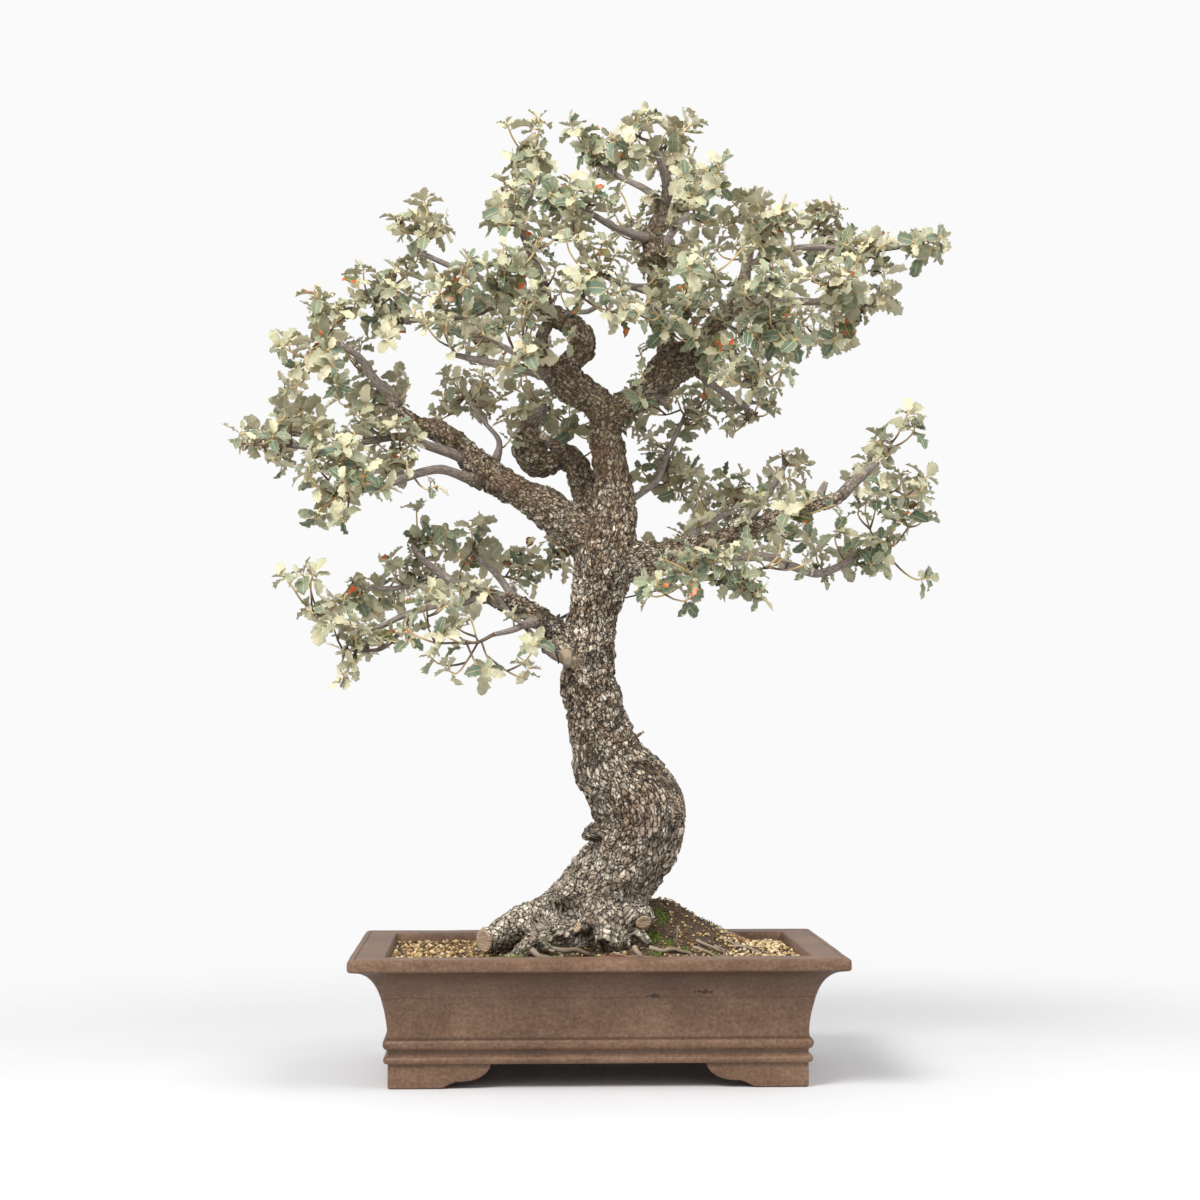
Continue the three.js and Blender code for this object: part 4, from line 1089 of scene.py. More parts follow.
@dataclass(frozen=True)
class WireFinish:
    """Anodised wire, scuffed in places.

    Attributes:
        name: the material's name.
        skin: the colour of the sound skin.
        scuff: the colour where it is worn.
        metallic: how metallic it is.
    """

    name: str
    skin: Colour
    scuff: Colour
    metallic: float

    def material(self) -> bpy.types.Material:
        """Build the wire's surface.

        Returns:
            The material.
        """
        recipe = Recipe(self.name, 0.45)
        recipe.shader.inputs["Metallic"].default_value = self.metallic
        wear = recipe.band(recipe.noise(400.0, 5.0, 0.7), 0.5, 0.7)
        return recipe.done(recipe.mix(wear, self.skin, self.scuff), recipe.bump(wear, 0.0001, 0.6))


class Skeleton:
    """All limbs of the tree as smooth lines, and the bark pattern that follows them."""

    # The spacing of the samples, the least radius in millimetres, and how many places are looked up at once
    STEP = 3 * MM
    LEAST = 1.6
    BATCH = 4000
    # Bark plates on a limb that is thicker than this radius, and on the others
    STOUT = 20 * MM
    PLATES = (7.5 * MM, 5.5 * MM)

    def __init__(self, stand: Stand) -> None:
        """Draw each limb through its points.

        Args:
            stand: the pot's place, which the limbs are counted from.
        """
        self.stand = stand
        self.limbs: dict[str, Path] = {}
        for name, rows in LIMBS.items():
            places = [stand.seen(x, depth, z) for x, depth, z, _ in rows]
            radii = [max(self.LEAST, radius) * MM for *_, radius in rows]
            self.limbs[name] = Path.through(places, radii, self.STEP)
        paths = list(self.limbs.values())
        names = ("centres", "radii", "tangents", "across", "beside", "arc")
        joined = [np.concatenate([getattr(path, name) for path in paths]) for name in names]
        self.centres, self.radii, self.tangents, self.across, self.beside, self.arc = joined
        counts = [len(path.centres) for path in paths]
        girths = [float(np.median(path.radii)) for path in paths]
        self.limb = np.repeat(np.arange(len(paths)), counts)
        self.plate = np.repeat([self.PLATES[girth <= self.STOUT] for girth in girths], counts)

    def nearest(self, places: np.ndarray) -> np.ndarray:
        """Find the limb sample whose skin is nearest to each place.

        Args:
            places: rows of places.

        Returns:
            The samples' numbers.
        """
        found = np.empty(len(places), int)
        centres = self.centres.astype(np.float32)
        squares = (centres**2).sum(1)
        for first in range(0, len(places), self.BATCH):
            rows = places[first : first + self.BATCH].astype(np.float32)
            gaps = (rows**2).sum(1)[:, None] + squares[None, :] - 2 * rows @ centres.T
            skin = np.sqrt(np.maximum(gaps, 0)) - self.radii[None, :]
            found[first : first + self.BATCH] = np.argmin(skin, axis=1)
        return found


@dataclass
class Tree:
    """The trunk, roots and branches with their bark.

    Attributes:
        skeleton: the limbs' lines.
        voxel: the fineness of the fused old wood, in metres.
        thick: the radius under which a limb is drawn as a branch of its own, in metres.
    """

    skeleton: Skeleton
    voxel: float = 2.05 * MM
    thick: float = 6.0 * MM

    OLD_WOOD = (
        "trunk", "root_left", "root_front_left", "root_front", "root_right_stub", "root_right",
        "root_back_right",
        "root_back_left", "left_arm", "hidden", "hidden_knob", "left_leader", "left_burl", "left_burl_side",
        "right_leader", "right_stub", "crown", "right_low", "right_low_upper", "left_low",
    )
    # Bulges, galls, small roots and dead stubs that stand on the old wood: from, to and the radii there
    LUMPS = (
        ((-2, -4, 164), (-46, -12, 145), 24.0, 20.0),
        ((-36, -8, 592), (-52, -20, 604), 7.5, 4.5), ((28, -22, 306), (46, -30, 318), 3.6, 2.0),
        ((4, -26, 226), (-11, -34, 220), 11.0, 5.0), ((52, -30, 264), (70, -36, 258), 10.0, 6.0),
        ((-2, -14, 398), (-31, -20, 388), 12.0, 9.5), ((22, -34, 184), (34, -48, 178), 14.0, 8.0),
        ((-22, -30, 164), (-38, -44, 154), 16.0, 9.0), ((10, -20, 470), (16, -28, 476), 11.0, 6.0),
        ((74, -10, 668), (78, -24, 672), 12.0, 7.0), ((-16, -8, 690), (-14, -20, 694), 10.0, 5.0),
        ((58, 2, 778), (52, -12, 780), 10.0, 6.0), ((-128, 14, 594), (-136, 2, 604), 7.0, 3.0),
        ((-57, 46, 576), (-60, 46, 606), 16.0, 12.0), ((-36, -10, 146), (-71, -24, 137), 22.0, 17.5),
        ((-71, -24, 137), (-92, -32, 126), 17.5, 14.0), ((-84, -28, 129), (-104, -47, 121), 14.0, 11.0),
        ((26, -28, 160), (45, -50, 140), 15.0, 9.0),
        ((-10, -38, 142), (-16, -66, 134), 11.0, 7.0), ((-62, -40, 136), (-56, -62, 124), 8.0, 5.0),
        ((-56, -62, 124), (-36, -76, 110), 5.0, 3.5), ((-48, -46, 136), (-22, -64, 126), 6.0, 4.0),
        ((14, -44, 150), (8, -66, 118), 13.0, 8.0), ((34, -40, 140), (54, -56, 116), 8.0, 4.0),
    )
    # Saw cuts: the middle of the face, the way that it faces, and its two radii
    CUTS = (
        ((-105, -48.5, 121), (-0.62, -0.77, -0.14), 9.0, 11.4),
        ((47, -53, 138), (0.45, -0.86, -0.18), 8.4, 6.4),
        ((-16.5, -67, 134), (-0.75, -0.6, 0.3), 4.6, 5.4), ((72, -27, 637), (0.92, -0.38, 0.0), 4.6, 4.8),
        ((223, -38, 559), (0.3, -0.3, 0.9), 2.8, 2.8), ((47, -31, 319), (0.8, -0.5, 0.5), 1.6, 1.6),
    )
    # Hollows between the roots and folds of the bend, which are also darkened as painted shade: place, reach
    # and depth, in millimetres
    HOLLOWS = (
        ((-22, -52, 150), 19, 9), ((-48, -44, 136), 14, 6), ((38, -44, 158), 13, 5), ((6, -50, 172), 12, 3),
        ((-12, -38, 236), 20, 4), ((58, -36, 212), 18, 3), ((0, -30, 292), 15, 2.5),
        ((24, -34, 342), 12, 2.5),
    )
    # Pale callus: place and reach, in millimetres
    CALLUSES = (((-30, -22, 394), 12), ((-18, -26, 384), 10), ((-40, -16, 402), 9), ((-50, -18, 602), 6))
    # How far apart two limbs' bark patterns lie, and the sizes and shares of the old wood's unevenness
    PATTERN_SHIFT = 17.3
    GNARLS = ((24 * MM, 1.0), (9 * MM, 0.5))

    def branch_range(self, path: Path, is_old: bool) -> Path | None:
        """Cut out the stretch of a limb that is drawn as a thin branch.

        Args:
            path: the whole limb.
            is_old: whether the limb's thick stretch is part of the fused old wood.

        Returns:
            The thin stretch, or None where the limb has none.
        """
        if not is_old:
            return path
        thin = np.nonzero(path.radii < self.thick)[0]
        if len(thin) < 3 or thin[0] == 0:
            return None
        return path.part(max(0, thin[0] - 3), len(path.centres))

    def distances(self, places: np.ndarray, x: float, depth: float, z: float) -> np.ndarray:
        """Measure how far each place is from a point that is given as it is seen."""
        return np.linalg.norm(places - np.array(self.skeleton.stand.seen(x, depth, z)), axis=1)

    def dress(self, mesh: bpy.types.Mesh) -> None:
        """Raise the bark's plates and store what the bark's material reads.

        Args:
            mesh: the wood, in place.
        """
        limbs = self.skeleton
        places, normals = columns(mesh), columns(mesh, normals=True)
        near = limbs.nearest(places)
        offset = places - limbs.centres[near]
        along = (offset * limbs.tangents[near]).sum(1) + limbs.arc[near]
        turn = np.arctan2((offset * limbs.beside[near]).sum(1), (offset * limbs.across[near]).sum(1))
        radii, plate = limbs.radii[near], limbs.plate[near]
        pattern = np.stack([radii * np.cos(turn), radii * np.sin(turn), along * 0.8], axis=1)
        pattern = pattern / plate[:, None] + limbs.limb[near][:, None] * self.PATTERN_SHIFT
        corky = smoothstep(3.6 * MM, 8 * MM, radii)
        gap, lift, gnarl = np.empty(len(places)), np.empty(len(places)), np.empty(len(places))
        for i, (cell, place) in enumerate(zip(pattern, places)):
            spot = Vector(cell)
            spot += 0.35 * noise.noise_vector(spot * 1.3)
            distances, centres = noise.voronoi(spot)
            gap[i] = distances[1] - distances[0]
            lift[i] = noise.cell(centres[0] * 31.7)
            gnarl[i] = sum(share * noise.noise(Vector(place) / size) for size, share in self.GNARLS)
        raised = smoothstep(0.0, 0.26, gap)
        callus = np.zeros(len(places))
        for middle, reach in self.CALLUSES:
            share = 1 - smoothstep(0.5 * reach * MM, reach * MM, self.distances(places, *middle))
            callus = np.maximum(callus, share)
        rough = corky * (1 - 0.85 * callus)
        depth = np.minimum(radii * 0.13, 1.5 * MM) / MM
        move = rough * depth * (1.35 * raised + 1.1 * raised * (lift - 0.4) - 0.75)
        move += gnarl * np.minimum(radii * 0.11 / MM, 2.6)
        hollow = np.zeros(len(places))
        for middle, reach, push in self.HOLLOWS:
            share = 1 - smoothstep(0.2 * reach * MM, reach * MM, self.distances(places, *middle))
            hollow = np.maximum(hollow, share)
            move -= push * share
        write_places(mesh, places + normals * (move * MM)[:, None])
        write_values(mesh, "bark_place", pattern)
        write_values(mesh, "corky", corky)
        # The plate share is low in the fissures and, as painted shade, in the hollows; the bark darkens where
        # it is low
        write_values(mesh, "plate", (1 - corky * (1 - raised) * (1 - callus)) * (1 - hollow))
        write_values(mesh, "callus", callus * 0.8)

    def old_wood(self) -> bpy.types.Mesh:
        """Fuse the trunk, roots and thick limbs into one skin.

        Returns:
            The mesh.
        """
        bm = bmesh.new()
        for name in self.OLD_WOOD:
            path = self.skeleton.limbs[name]
            thick = np.nonzero(path.radii >= self.thick)[0]
            add_tube(bm, path.part(0, thick[-1] + 1), 20)
        seen = self.skeleton.stand.seen
        for first, last, wide, slim in self.LUMPS:
            add_tube(bm, Path.through([seen(*first), seen(*last)], [wide * MM, slim * MM], 3 * MM), 12)
        return modified(
            to_mesh(bm, "old_wood"),
            ("REMESH", {"mode": "VOXEL", "voxel_size": self.voxel, "use_smooth_shade": True}),
            ("SMOOTH", {"factor": 0.5, "iterations": 5}),
        )

    def branches(self) -> bpy.types.Mesh:
        """Draw the thin branches as tubes that start inside the old wood.

        Returns:
            The mesh.
        """
        bm = bmesh.new()
        for name, path in self.skeleton.limbs.items():
            thin = self.branch_range(path, name in self.OLD_WOOD)
            if thin is not None:
                add_tube(bm, thin, 14)
        return to_mesh(bm, "branches")

    def cuts(self) -> bpy.types.Mesh:
        """Lay a slightly hollow disc of bare wood on each sawn end.

        Returns:
            The mesh.
        """
        bm = bmesh.new()
        for middle, facing, wide, tall in self.CUTS:
            turn = Vector(facing).to_track_quat("Z", "Y").to_matrix().to_4x4()
            place = Matrix.Translation(self.skeleton.stand.seen(*middle)) @ turn
            place @= Matrix.Diagonal((wide * MM, tall * MM, wide * MM, 1))
            made = bmesh.ops.create_circle(bm, cap_ends=True, segments=24, radius=1.0, matrix=place)
            disc = made["verts"][0].link_faces[:]
            for inset, rise in ((0.16, 0.08), (0.3, -0.1)):
                size = {"thickness": wide * inset * MM, "depth": wide * rise * MM}
                bmesh.ops.inset_individual(bm, faces=disc, **size)
        return modified(to_mesh(bm, "cuts"), ("SOLIDIFY", {"thickness": 2.4 * MM, "offset": -1.0}))

    def build(self) -> None:
        """Make the wood's pieces."""
        bark = BarkFinish().material()
        old = self.old_wood()
        self.dress(old)
        finish_piece("old_wood", old, [bark], "bark", "trunk_and_branches")
        thin = self.branches()
        self.dress(thin)
        finish_piece("branches", thin, [bark], "bark", "trunk_and_branches")
        finish_piece("saw_cuts", self.cuts(), [CutWoodFinish().material()], "bark", "trunk_and_branches")


@dataclass(frozen=True)
class LeafForm:
    """The form of one leaf blade on its short stalk, in shares of its length.

    Attributes:
        half_width: half of the blade's greatest width.
        fold: how steeply the two halves rise from the midrib.
        curl: the angle in radians by which the tip bends down.
        wave: how far the edge waves up and down.
        phase: where along the edge the waves begin.
        lean: the sideways bend of the tip.
    """

    half_width: float
    fold: float
    curl: float
    wave: float
    phase: float
    lean: float

    LENGTH = 18.8 * MM
    THICKNESS = 0.4 * MM
    # The place along the blade and the share of the half width; every second row is a spiny tooth
    OUTLINE = (
        (0.0, 0.07), (0.12, 0.08), (0.2, 0.62), (0.34, 1.0), (0.45, 0.85), (0.58, 1.12), (0.7, 0.84),
        (0.82, 0.86),
        (0.92, 0.44), (1.0, 0.04),
    )
    FIRST_TOOTH = 3
    TOOTH = 0.03

    @classmethod
    def drawn(cls, chance: random.Random) -> "LeafForm":
        """Draw a form by chance.

        Args:
            chance: where the numbers come from.

        Returns:
            The form.
        """
        return cls(
            chance.uniform(0.2, 0.31), chance.uniform(0.1, 0.75), chance.choice((-0.5, 0.3, 0.7, 1.1, 1.4)),
            chance.uniform(0.05, 0.12), chance.uniform(0.0, math.tau), chance.uniform(-0.16, 0.16),
        )

    def mesh(self) -> bpy.types.Mesh:
        """Make the closed thin blade along +Y, facing +Z, with its underside in the next material.

        Returns:
            The blade, as long as LENGTH.
        """
        last = len(self.OUTLINE) - 1
        bm = bmesh.new()
        bm.loops.layers.uv.new("leaf")
        bmesh.ops.create_grid(bm, x_segments=2, y_segments=last, size=1.0, calc_uvs=True)
        for corner in bm.verts:
            side, row = round(corner.co.x), round((corner.co.y + 1) / 2 * last)
            along, share = self.OUTLINE[row]
            if side and row % 2 and row >= self.FIRST_TOOTH:
                along += self.TOOTH
            reach = side * share * self.half_width
            swing = math.sin(2.3 * row + self.phase + side)
            lift = abs(reach) * self.fold + abs(side) * share * self.wave * swing
            bend = self.curl * along
            run = math.sin(bend) / self.curl
            drop = (1 - math.cos(bend)) / self.curl
            corner.co.x = reach + self.lean * along * along
            corner.co.y = run + lift * math.sin(bend)
            corner.co.z = lift * math.cos(bend) - drop
        under = bmesh.ops.duplicate(bm, geom=bm.faces[:])["geom"]
        backs = of_kind(under, bmesh.types.BMFace)
        for corner in {corner for back in backs for corner in back.verts if not corner.is_boundary}:
            corner.co.z -= self.THICKNESS / self.LENGTH
        for back in backs:
            back.material_index = 1
        bmesh.ops.reverse_faces(bm, faces=backs)
        bmesh.ops.remove_doubles(bm, verts=[corner for corner in bm.verts if corner.is_boundary], dist=1e-5)
        bmesh.ops.scale(bm, vec=Vector((1, 1, 1)) * self.LENGTH, verts=bm.verts)
        blade = to_mesh(bm, "leaf")
        blade.set_sharp_from_angle(angle=math.radians(80))
        return blade


@dataclass
class Rosette:
    """A whorl of leaves at the end of a shoot.

    Attributes:
        place: where the shoot ends.
        heading: the way in which the shoot points.
        source: where the shoot starts.
        spray: the number of the spray that it belongs to.
        leaves: how many leaves it has.
    """

    place: Vector
    heading: Vector
    source: Vector
    spray: int
    leaves: int

    def bends(self) -> tuple[Vector, Vector]:
        """Give the middle of the shoot and the place where it turns up into the whorl.

        Returns:
            The two places.
        """
        length = (self.place - self.source).length
        lead = self.place - self.heading * min(12 * MM, length * 0.35)
        return self.source.lerp(lead, 0.55) + Vector((0, 0, -0.07 * length)), lead


@dataclass
class Foliage:
    """All leafy shoots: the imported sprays' whorls, and those that fill out the leaf pads round them.

    Attributes:
        skeleton: the limbs' lines.
        looks: the finishes of the leaves by name.
        seed: the start of the chance that places everything.
        forms: how many blade forms are drawn.
        inner: how many whorls a spray has besides the one at its tip.
        margin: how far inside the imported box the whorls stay, in millimetres.
        chance: the source of all chance.
        blades: the drawn blade forms.
        shoots: each spray's main shoot.
        wood: places that a shoot may leave from.
        rosettes: all whorls.
    """

    skeleton: Skeleton
    looks: dict[str, LeafFinish]
    seed: int = 20
    forms: int = 14
    inner: int = 6
    margin: tuple[float, float, float] = (17, 20, 18)
    chance: random.Random = field(init=False)
    blades: list[bpy.types.Mesh] = field(init=False)
    shoots: list[Path] = field(init=False)
    wood: np.ndarray = field(init=False)
    rosettes: list[Rosette] = field(init=False)

    # How many leaves a whorl may have, and the share of spotted ones
    LEAVES = (5, 6, 6, 7, 7, 8, 8)
    SPOTTED = 0.05
    GOLDEN_ANGLE = 2.39996
    # In a spray: how often a place is tried, and how far apart two whorls stand
    TRIES = 120
    SPACING = 16 * MM
    # In a pad: the size of a cell, and how near the next whorl may be seen, in millimetres
    CELL = 12
    CLEAR = 9.5
    # The looks of the sprays, in turn
    CYCLE = ("leaf_grey", "leaf_pale", "leaf_grey", "leaf_green")

    def __post_init__(self) -> None:
        """Draw the leaf forms, the main shoots and the places of the whorls."""
        self.chance = random.Random(self.seed)
        self.blades = [LeafForm.drawn(self.chance).mesh() for _ in range(self.forms)]
        self.shoots = [self.main_shoot(number) for number in range(len(SPRAYS))]
        limbs = self.skeleton.limbs.items()
        boughs = [path for name, path in limbs if name != "trunk" and "root" not in name]
        self.wood = np.vstack([path.centres for path in (*boughs, *self.shoots)])
        self.rosettes = []
        for number in range(len(SPRAYS)):
            self.fill_spray(number)
        for pad in PADS:
            self.fill_pad(pad)
        for x, z in TUFTS:
            self.add_between(x, z, self.wood_depth(x, z) - self.chance.uniform(16, 40))

    def main_shoot(self, number: int) -> Path:
        """Draw the shoot that runs from a spray's limb to its tip.

        Args:
            number: the spray's number, from 0.

        Returns:
            The shoot's line.
        """
        limb, x, depth, z = SPRAYS[number]
        path, tip = self.skeleton.limbs[limb], self.skeleton.stand.seen(x, depth, z)
        start = Vector(path.centres[int(np.argmin(np.linalg.norm(path.centres - np.array(tip), axis=1)))])
        bow = Vector((self.chance.uniform(-1, 1), self.chance.uniform(-1, 1), self.chance.uniform(-1.6, 0.2)))
        middle = start.lerp(tip, 0.5) + bow * (tip - start).length * 0.09
        return Path.through([start, middle, tip], [1.9 * MM, 1.5 * MM, 1.0 * MM], 4 * MM)

    def held(self, place: Vector) -> Vector:
        """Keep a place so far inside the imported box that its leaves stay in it.

        Args:
            place: the place in the frame.

        Returns:
            The place, moved inwards where it has to be.
        """
        margin = Vector(self.margin) * MM
        low, high = CAD_LOW + margin, CAD_HIGH - margin
        return Vector([min(max(value, least), most) for value, least, most in zip(place, low, high)])

    def is_open(self, place: Vector, margin: float) -> bool:
        """Tell whether a place is seen within a margin in millimetres of a window of open air."""
        x, z = self.skeleton.stand.against(place)
        return any(math.hypot(x - a, z - b) < reach + margin for a, b, reach in WINDOWS)

    def add_rosette(self, place: Vector, source: Vector, spray: int) -> None:
        """Add a whorl whose shoot points away from its source and a little up.

        Args:
            place: where the shoot ends.
            source: where it starts.
            spray: the number of its spray, from 0.
        """
        away = (place - source).normalized()
        stray = Vector([self.chance.uniform(-0.55, 0.55) for _ in range(3)])
        heading = (away + Vector((0, -0.15, 0.55)) + stray).normalized()
        leaves = self.chance.choice(self.LEAVES)
        self.rosettes.append(Rosette(place, heading, source, spray, leaves))
        self.wood = np.vstack([self.wood, self.rosettes[-1].bends()[0]])

    def fill_spray(self, number: int) -> None:
        """Set a whorl at a spray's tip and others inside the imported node's own box.

        Args:
            number: the spray's number, from 0.
        """
        name = f"spray_{number + 1:02d}"
        low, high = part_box(name)
        shoot = self.shoots[number]
        tip = self.held(shoot.point(1.0))
        taken = [tip]
        self.add_rosette(tip, shoot.point(0.7), number)
        for _ in range(self.TRIES):
            spot = Vector([self.chance.uniform(a, b) for a, b in zip(low, high)])
            spot = self.held((low + high) / 2 + (spot - (low + high) / 2) * 0.8)
            nearest = min((spot - other).length for other in taken)
            if nearest < self.SPACING or self.is_open(spot, 7):
                continue
            taken.append(spot)
            self.add_rosette(spot, shoot.point(self.chance.uniform(0.3, 0.9)), number)
            if len(taken) > self.inner:
                break

    def fill_pad(self, pad: tuple[int, int, int, int]) -> None:
        """Fill the gaps between a pad's whorls, at the depth of the spray that is seen nearest.

        Args:
            pad: left, right, low and high as they are seen, in millimetres.
        """
        stand = self.skeleton.stand
        left, right, low, high = pad
        across, upward = (max(1, round(size / self.CELL)) for size in (right - left, high - low))
        for column in range(across):
            for row in range(upward):
                x = left + (right - left) * (column + self.chance.uniform(0.1, 0.9)) / across
                z = low + (high - low) * (row + self.chance.uniform(0.1, 0.9)) / upward
                if noise.noise(Vector((x, 3.0, z)) / 19) < -0.13:
                    continue
                seen = [stand.against(rosette.place) for rosette in self.rosettes]
                if min(math.hypot(x - a, z - b) for a, b in seen) < self.CLEAR:
                    continue
                if not self.is_open(stand.seen(x, 0, z), 8):
                    depth = SPRAYS[self.nearest_spray(x, z)][2]
                    self.add_between(x, z, depth + self.chance.uniform(-34, 30))

    def nearest_spray(self, x: float, z: float) -> int:
        """Find the spray whose tip is seen nearest to a seen place."""
        gaps = [math.hypot(x - row[1], z - row[3]) for row in SPRAYS]
        return gaps.index(min(gaps))

    def wood_depth(self, x: float, z: float) -> float:
        """Give the depth in millimetres of the wood that is seen nearest to a seen place.

        Args:
            x: the seen place across.
            z: its seen height.

        Returns:
            The depth.
        """
        stand = self.skeleton.stand
        seen = np.array([stand.against(Vector(place)) for place in self.wood])
        nearest = int(np.argmin(np.hypot(seen[:, 0] - x, seen[:, 1] - z)))
        return (self.wood[nearest][1] - stand.origin[1]) / MM

    def add_between(self, x: float, z: float, depth: float) -> None:
        """Add a whorl at a seen place between the sprays."""
        place = self.skeleton.stand.seen(x, depth, z)
        self.add_rosette(self.held(place), self.source_of(place), self.nearest_spray(x, z))

    def source_of(self, place: Vector) -> Vector:
        """Find where a shoot to this place leaves the nearest bough or main shoot."""
        target = np.array(place) - np.array((0, 0, 12 * MM))
        return Vector(self.wood[int(np.argmin(np.linalg.norm(self.wood - target, axis=1)))])

    def add_leaves(self, bm: bmesh.types.BMesh, rosette: Rosette) -> None:
        """Set a whorl's leaves round the end of its shoot, the oldest lowest and most spread.

        Args:
            bm: the edit mesh of the spray.
            rosette: the whorl.
        """
        tint = bm.verts.layers.float["tint"]
        turn = rosette.heading.to_track_quat("Z", "Y").to_matrix().to_4x4()
        first = self.chance.uniform(0, math.tau)
        for number in range(rosette.leaves):
            age = 1 - number / rosette.leaves
            spin = Matrix.Rotation(first + number * self.GOLDEN_ANGLE, 4, "Z")
            spread = 34 + 56 * age + self.chance.uniform(-14, 12)
            rise = Matrix.Rotation(math.radians(90 - spread), 4, "X")
            roll = Matrix.Rotation(self.chance.uniform(-0.5, 0.5), 4, "Y")
            length = self.chance.uniform(0.68, 1.3) * (0.66 + 0.44 * age)
            down = Matrix.Translation((0, 0, -8 * MM * age))
            place = Matrix.Translation(rosette.place) @ turn @ down @ spin @ rise @ roll
            place = place @ Matrix.Scale(length, 4)
            blade = self.chance.choice(self.blades)
            if self.is_open(place @ Vector((0, 0.7 * LeafForm.LENGTH, 0)), 0):
                continue
            corners = add_copy(bm, blade)
            bmesh.ops.transform(bm, matrix=place, verts=corners)
            fill_layer(corners, tint, self.chance.triangular(0.0, 1.0, 0.62 - 0.6 * age))
            if self.chance.random() < self.SPOTTED:
                for face in {face for corner in corners for face in corner.link_faces}:
                    face.material_index += 2 * (face.material_index == 0)

    def add_shoot(self, bm: bmesh.types.BMesh, rosette: Rosette) -> None:
        """Bend a thin shoot from its source to the whorl.

        Args:
            bm: the edit mesh of the spray.
            rosette: the whorl that it carries.
        """
        points = [rosette.source, *rosette.bends(), rosette.place]
        path = Path.through(points, [1.15 * MM, 0.95 * MM, 0.85 * MM, 0.7 * MM], 7 * MM)
        add_tube(bm, path, 6, (0.9, -0.2))

    def build(self) -> None:
        """Make one piece for each packed spray."""
        felt = self.looks["felt"].material()
        spotted, shoot = self.looks["spotted"].material(), ShootFinish().material()
        tops = {name: self.looks[name].material() for name in ("leaf_grey", "leaf_pale", "leaf_green")}
        for number, main in enumerate(self.shoots):
            bm = bmesh.new()
            bm.loops.layers.uv.new("leaf")
            bm.verts.layers.float.new("tint")
            bm.verts.layers.float.new("age")
            own = [rosette for rosette in self.rosettes if rosette.spray == number]
            add_tube(bm, main, 8, (1.0, 0.35))
            for rosette in own:
                self.add_shoot(bm, rosette)
            for face in bm.faces:
                face.material_index = 3
            for rosette in own:
                self.add_leaves(bm, rosette)
            look = self.CYCLE[number % len(self.CYCLE)]
            name = f"spray_{number + 1:02d}"
            mesh = to_mesh(bm, name)
            finish_piece(f"leaves_{number + 1:02d}", mesh, [tops[look], felt, spotted, shoot], look, name)
        LOG.info("%d whorls, %d leaves", len(self.rosettes), sum(rosette.leaves for rosette in self.rosettes))


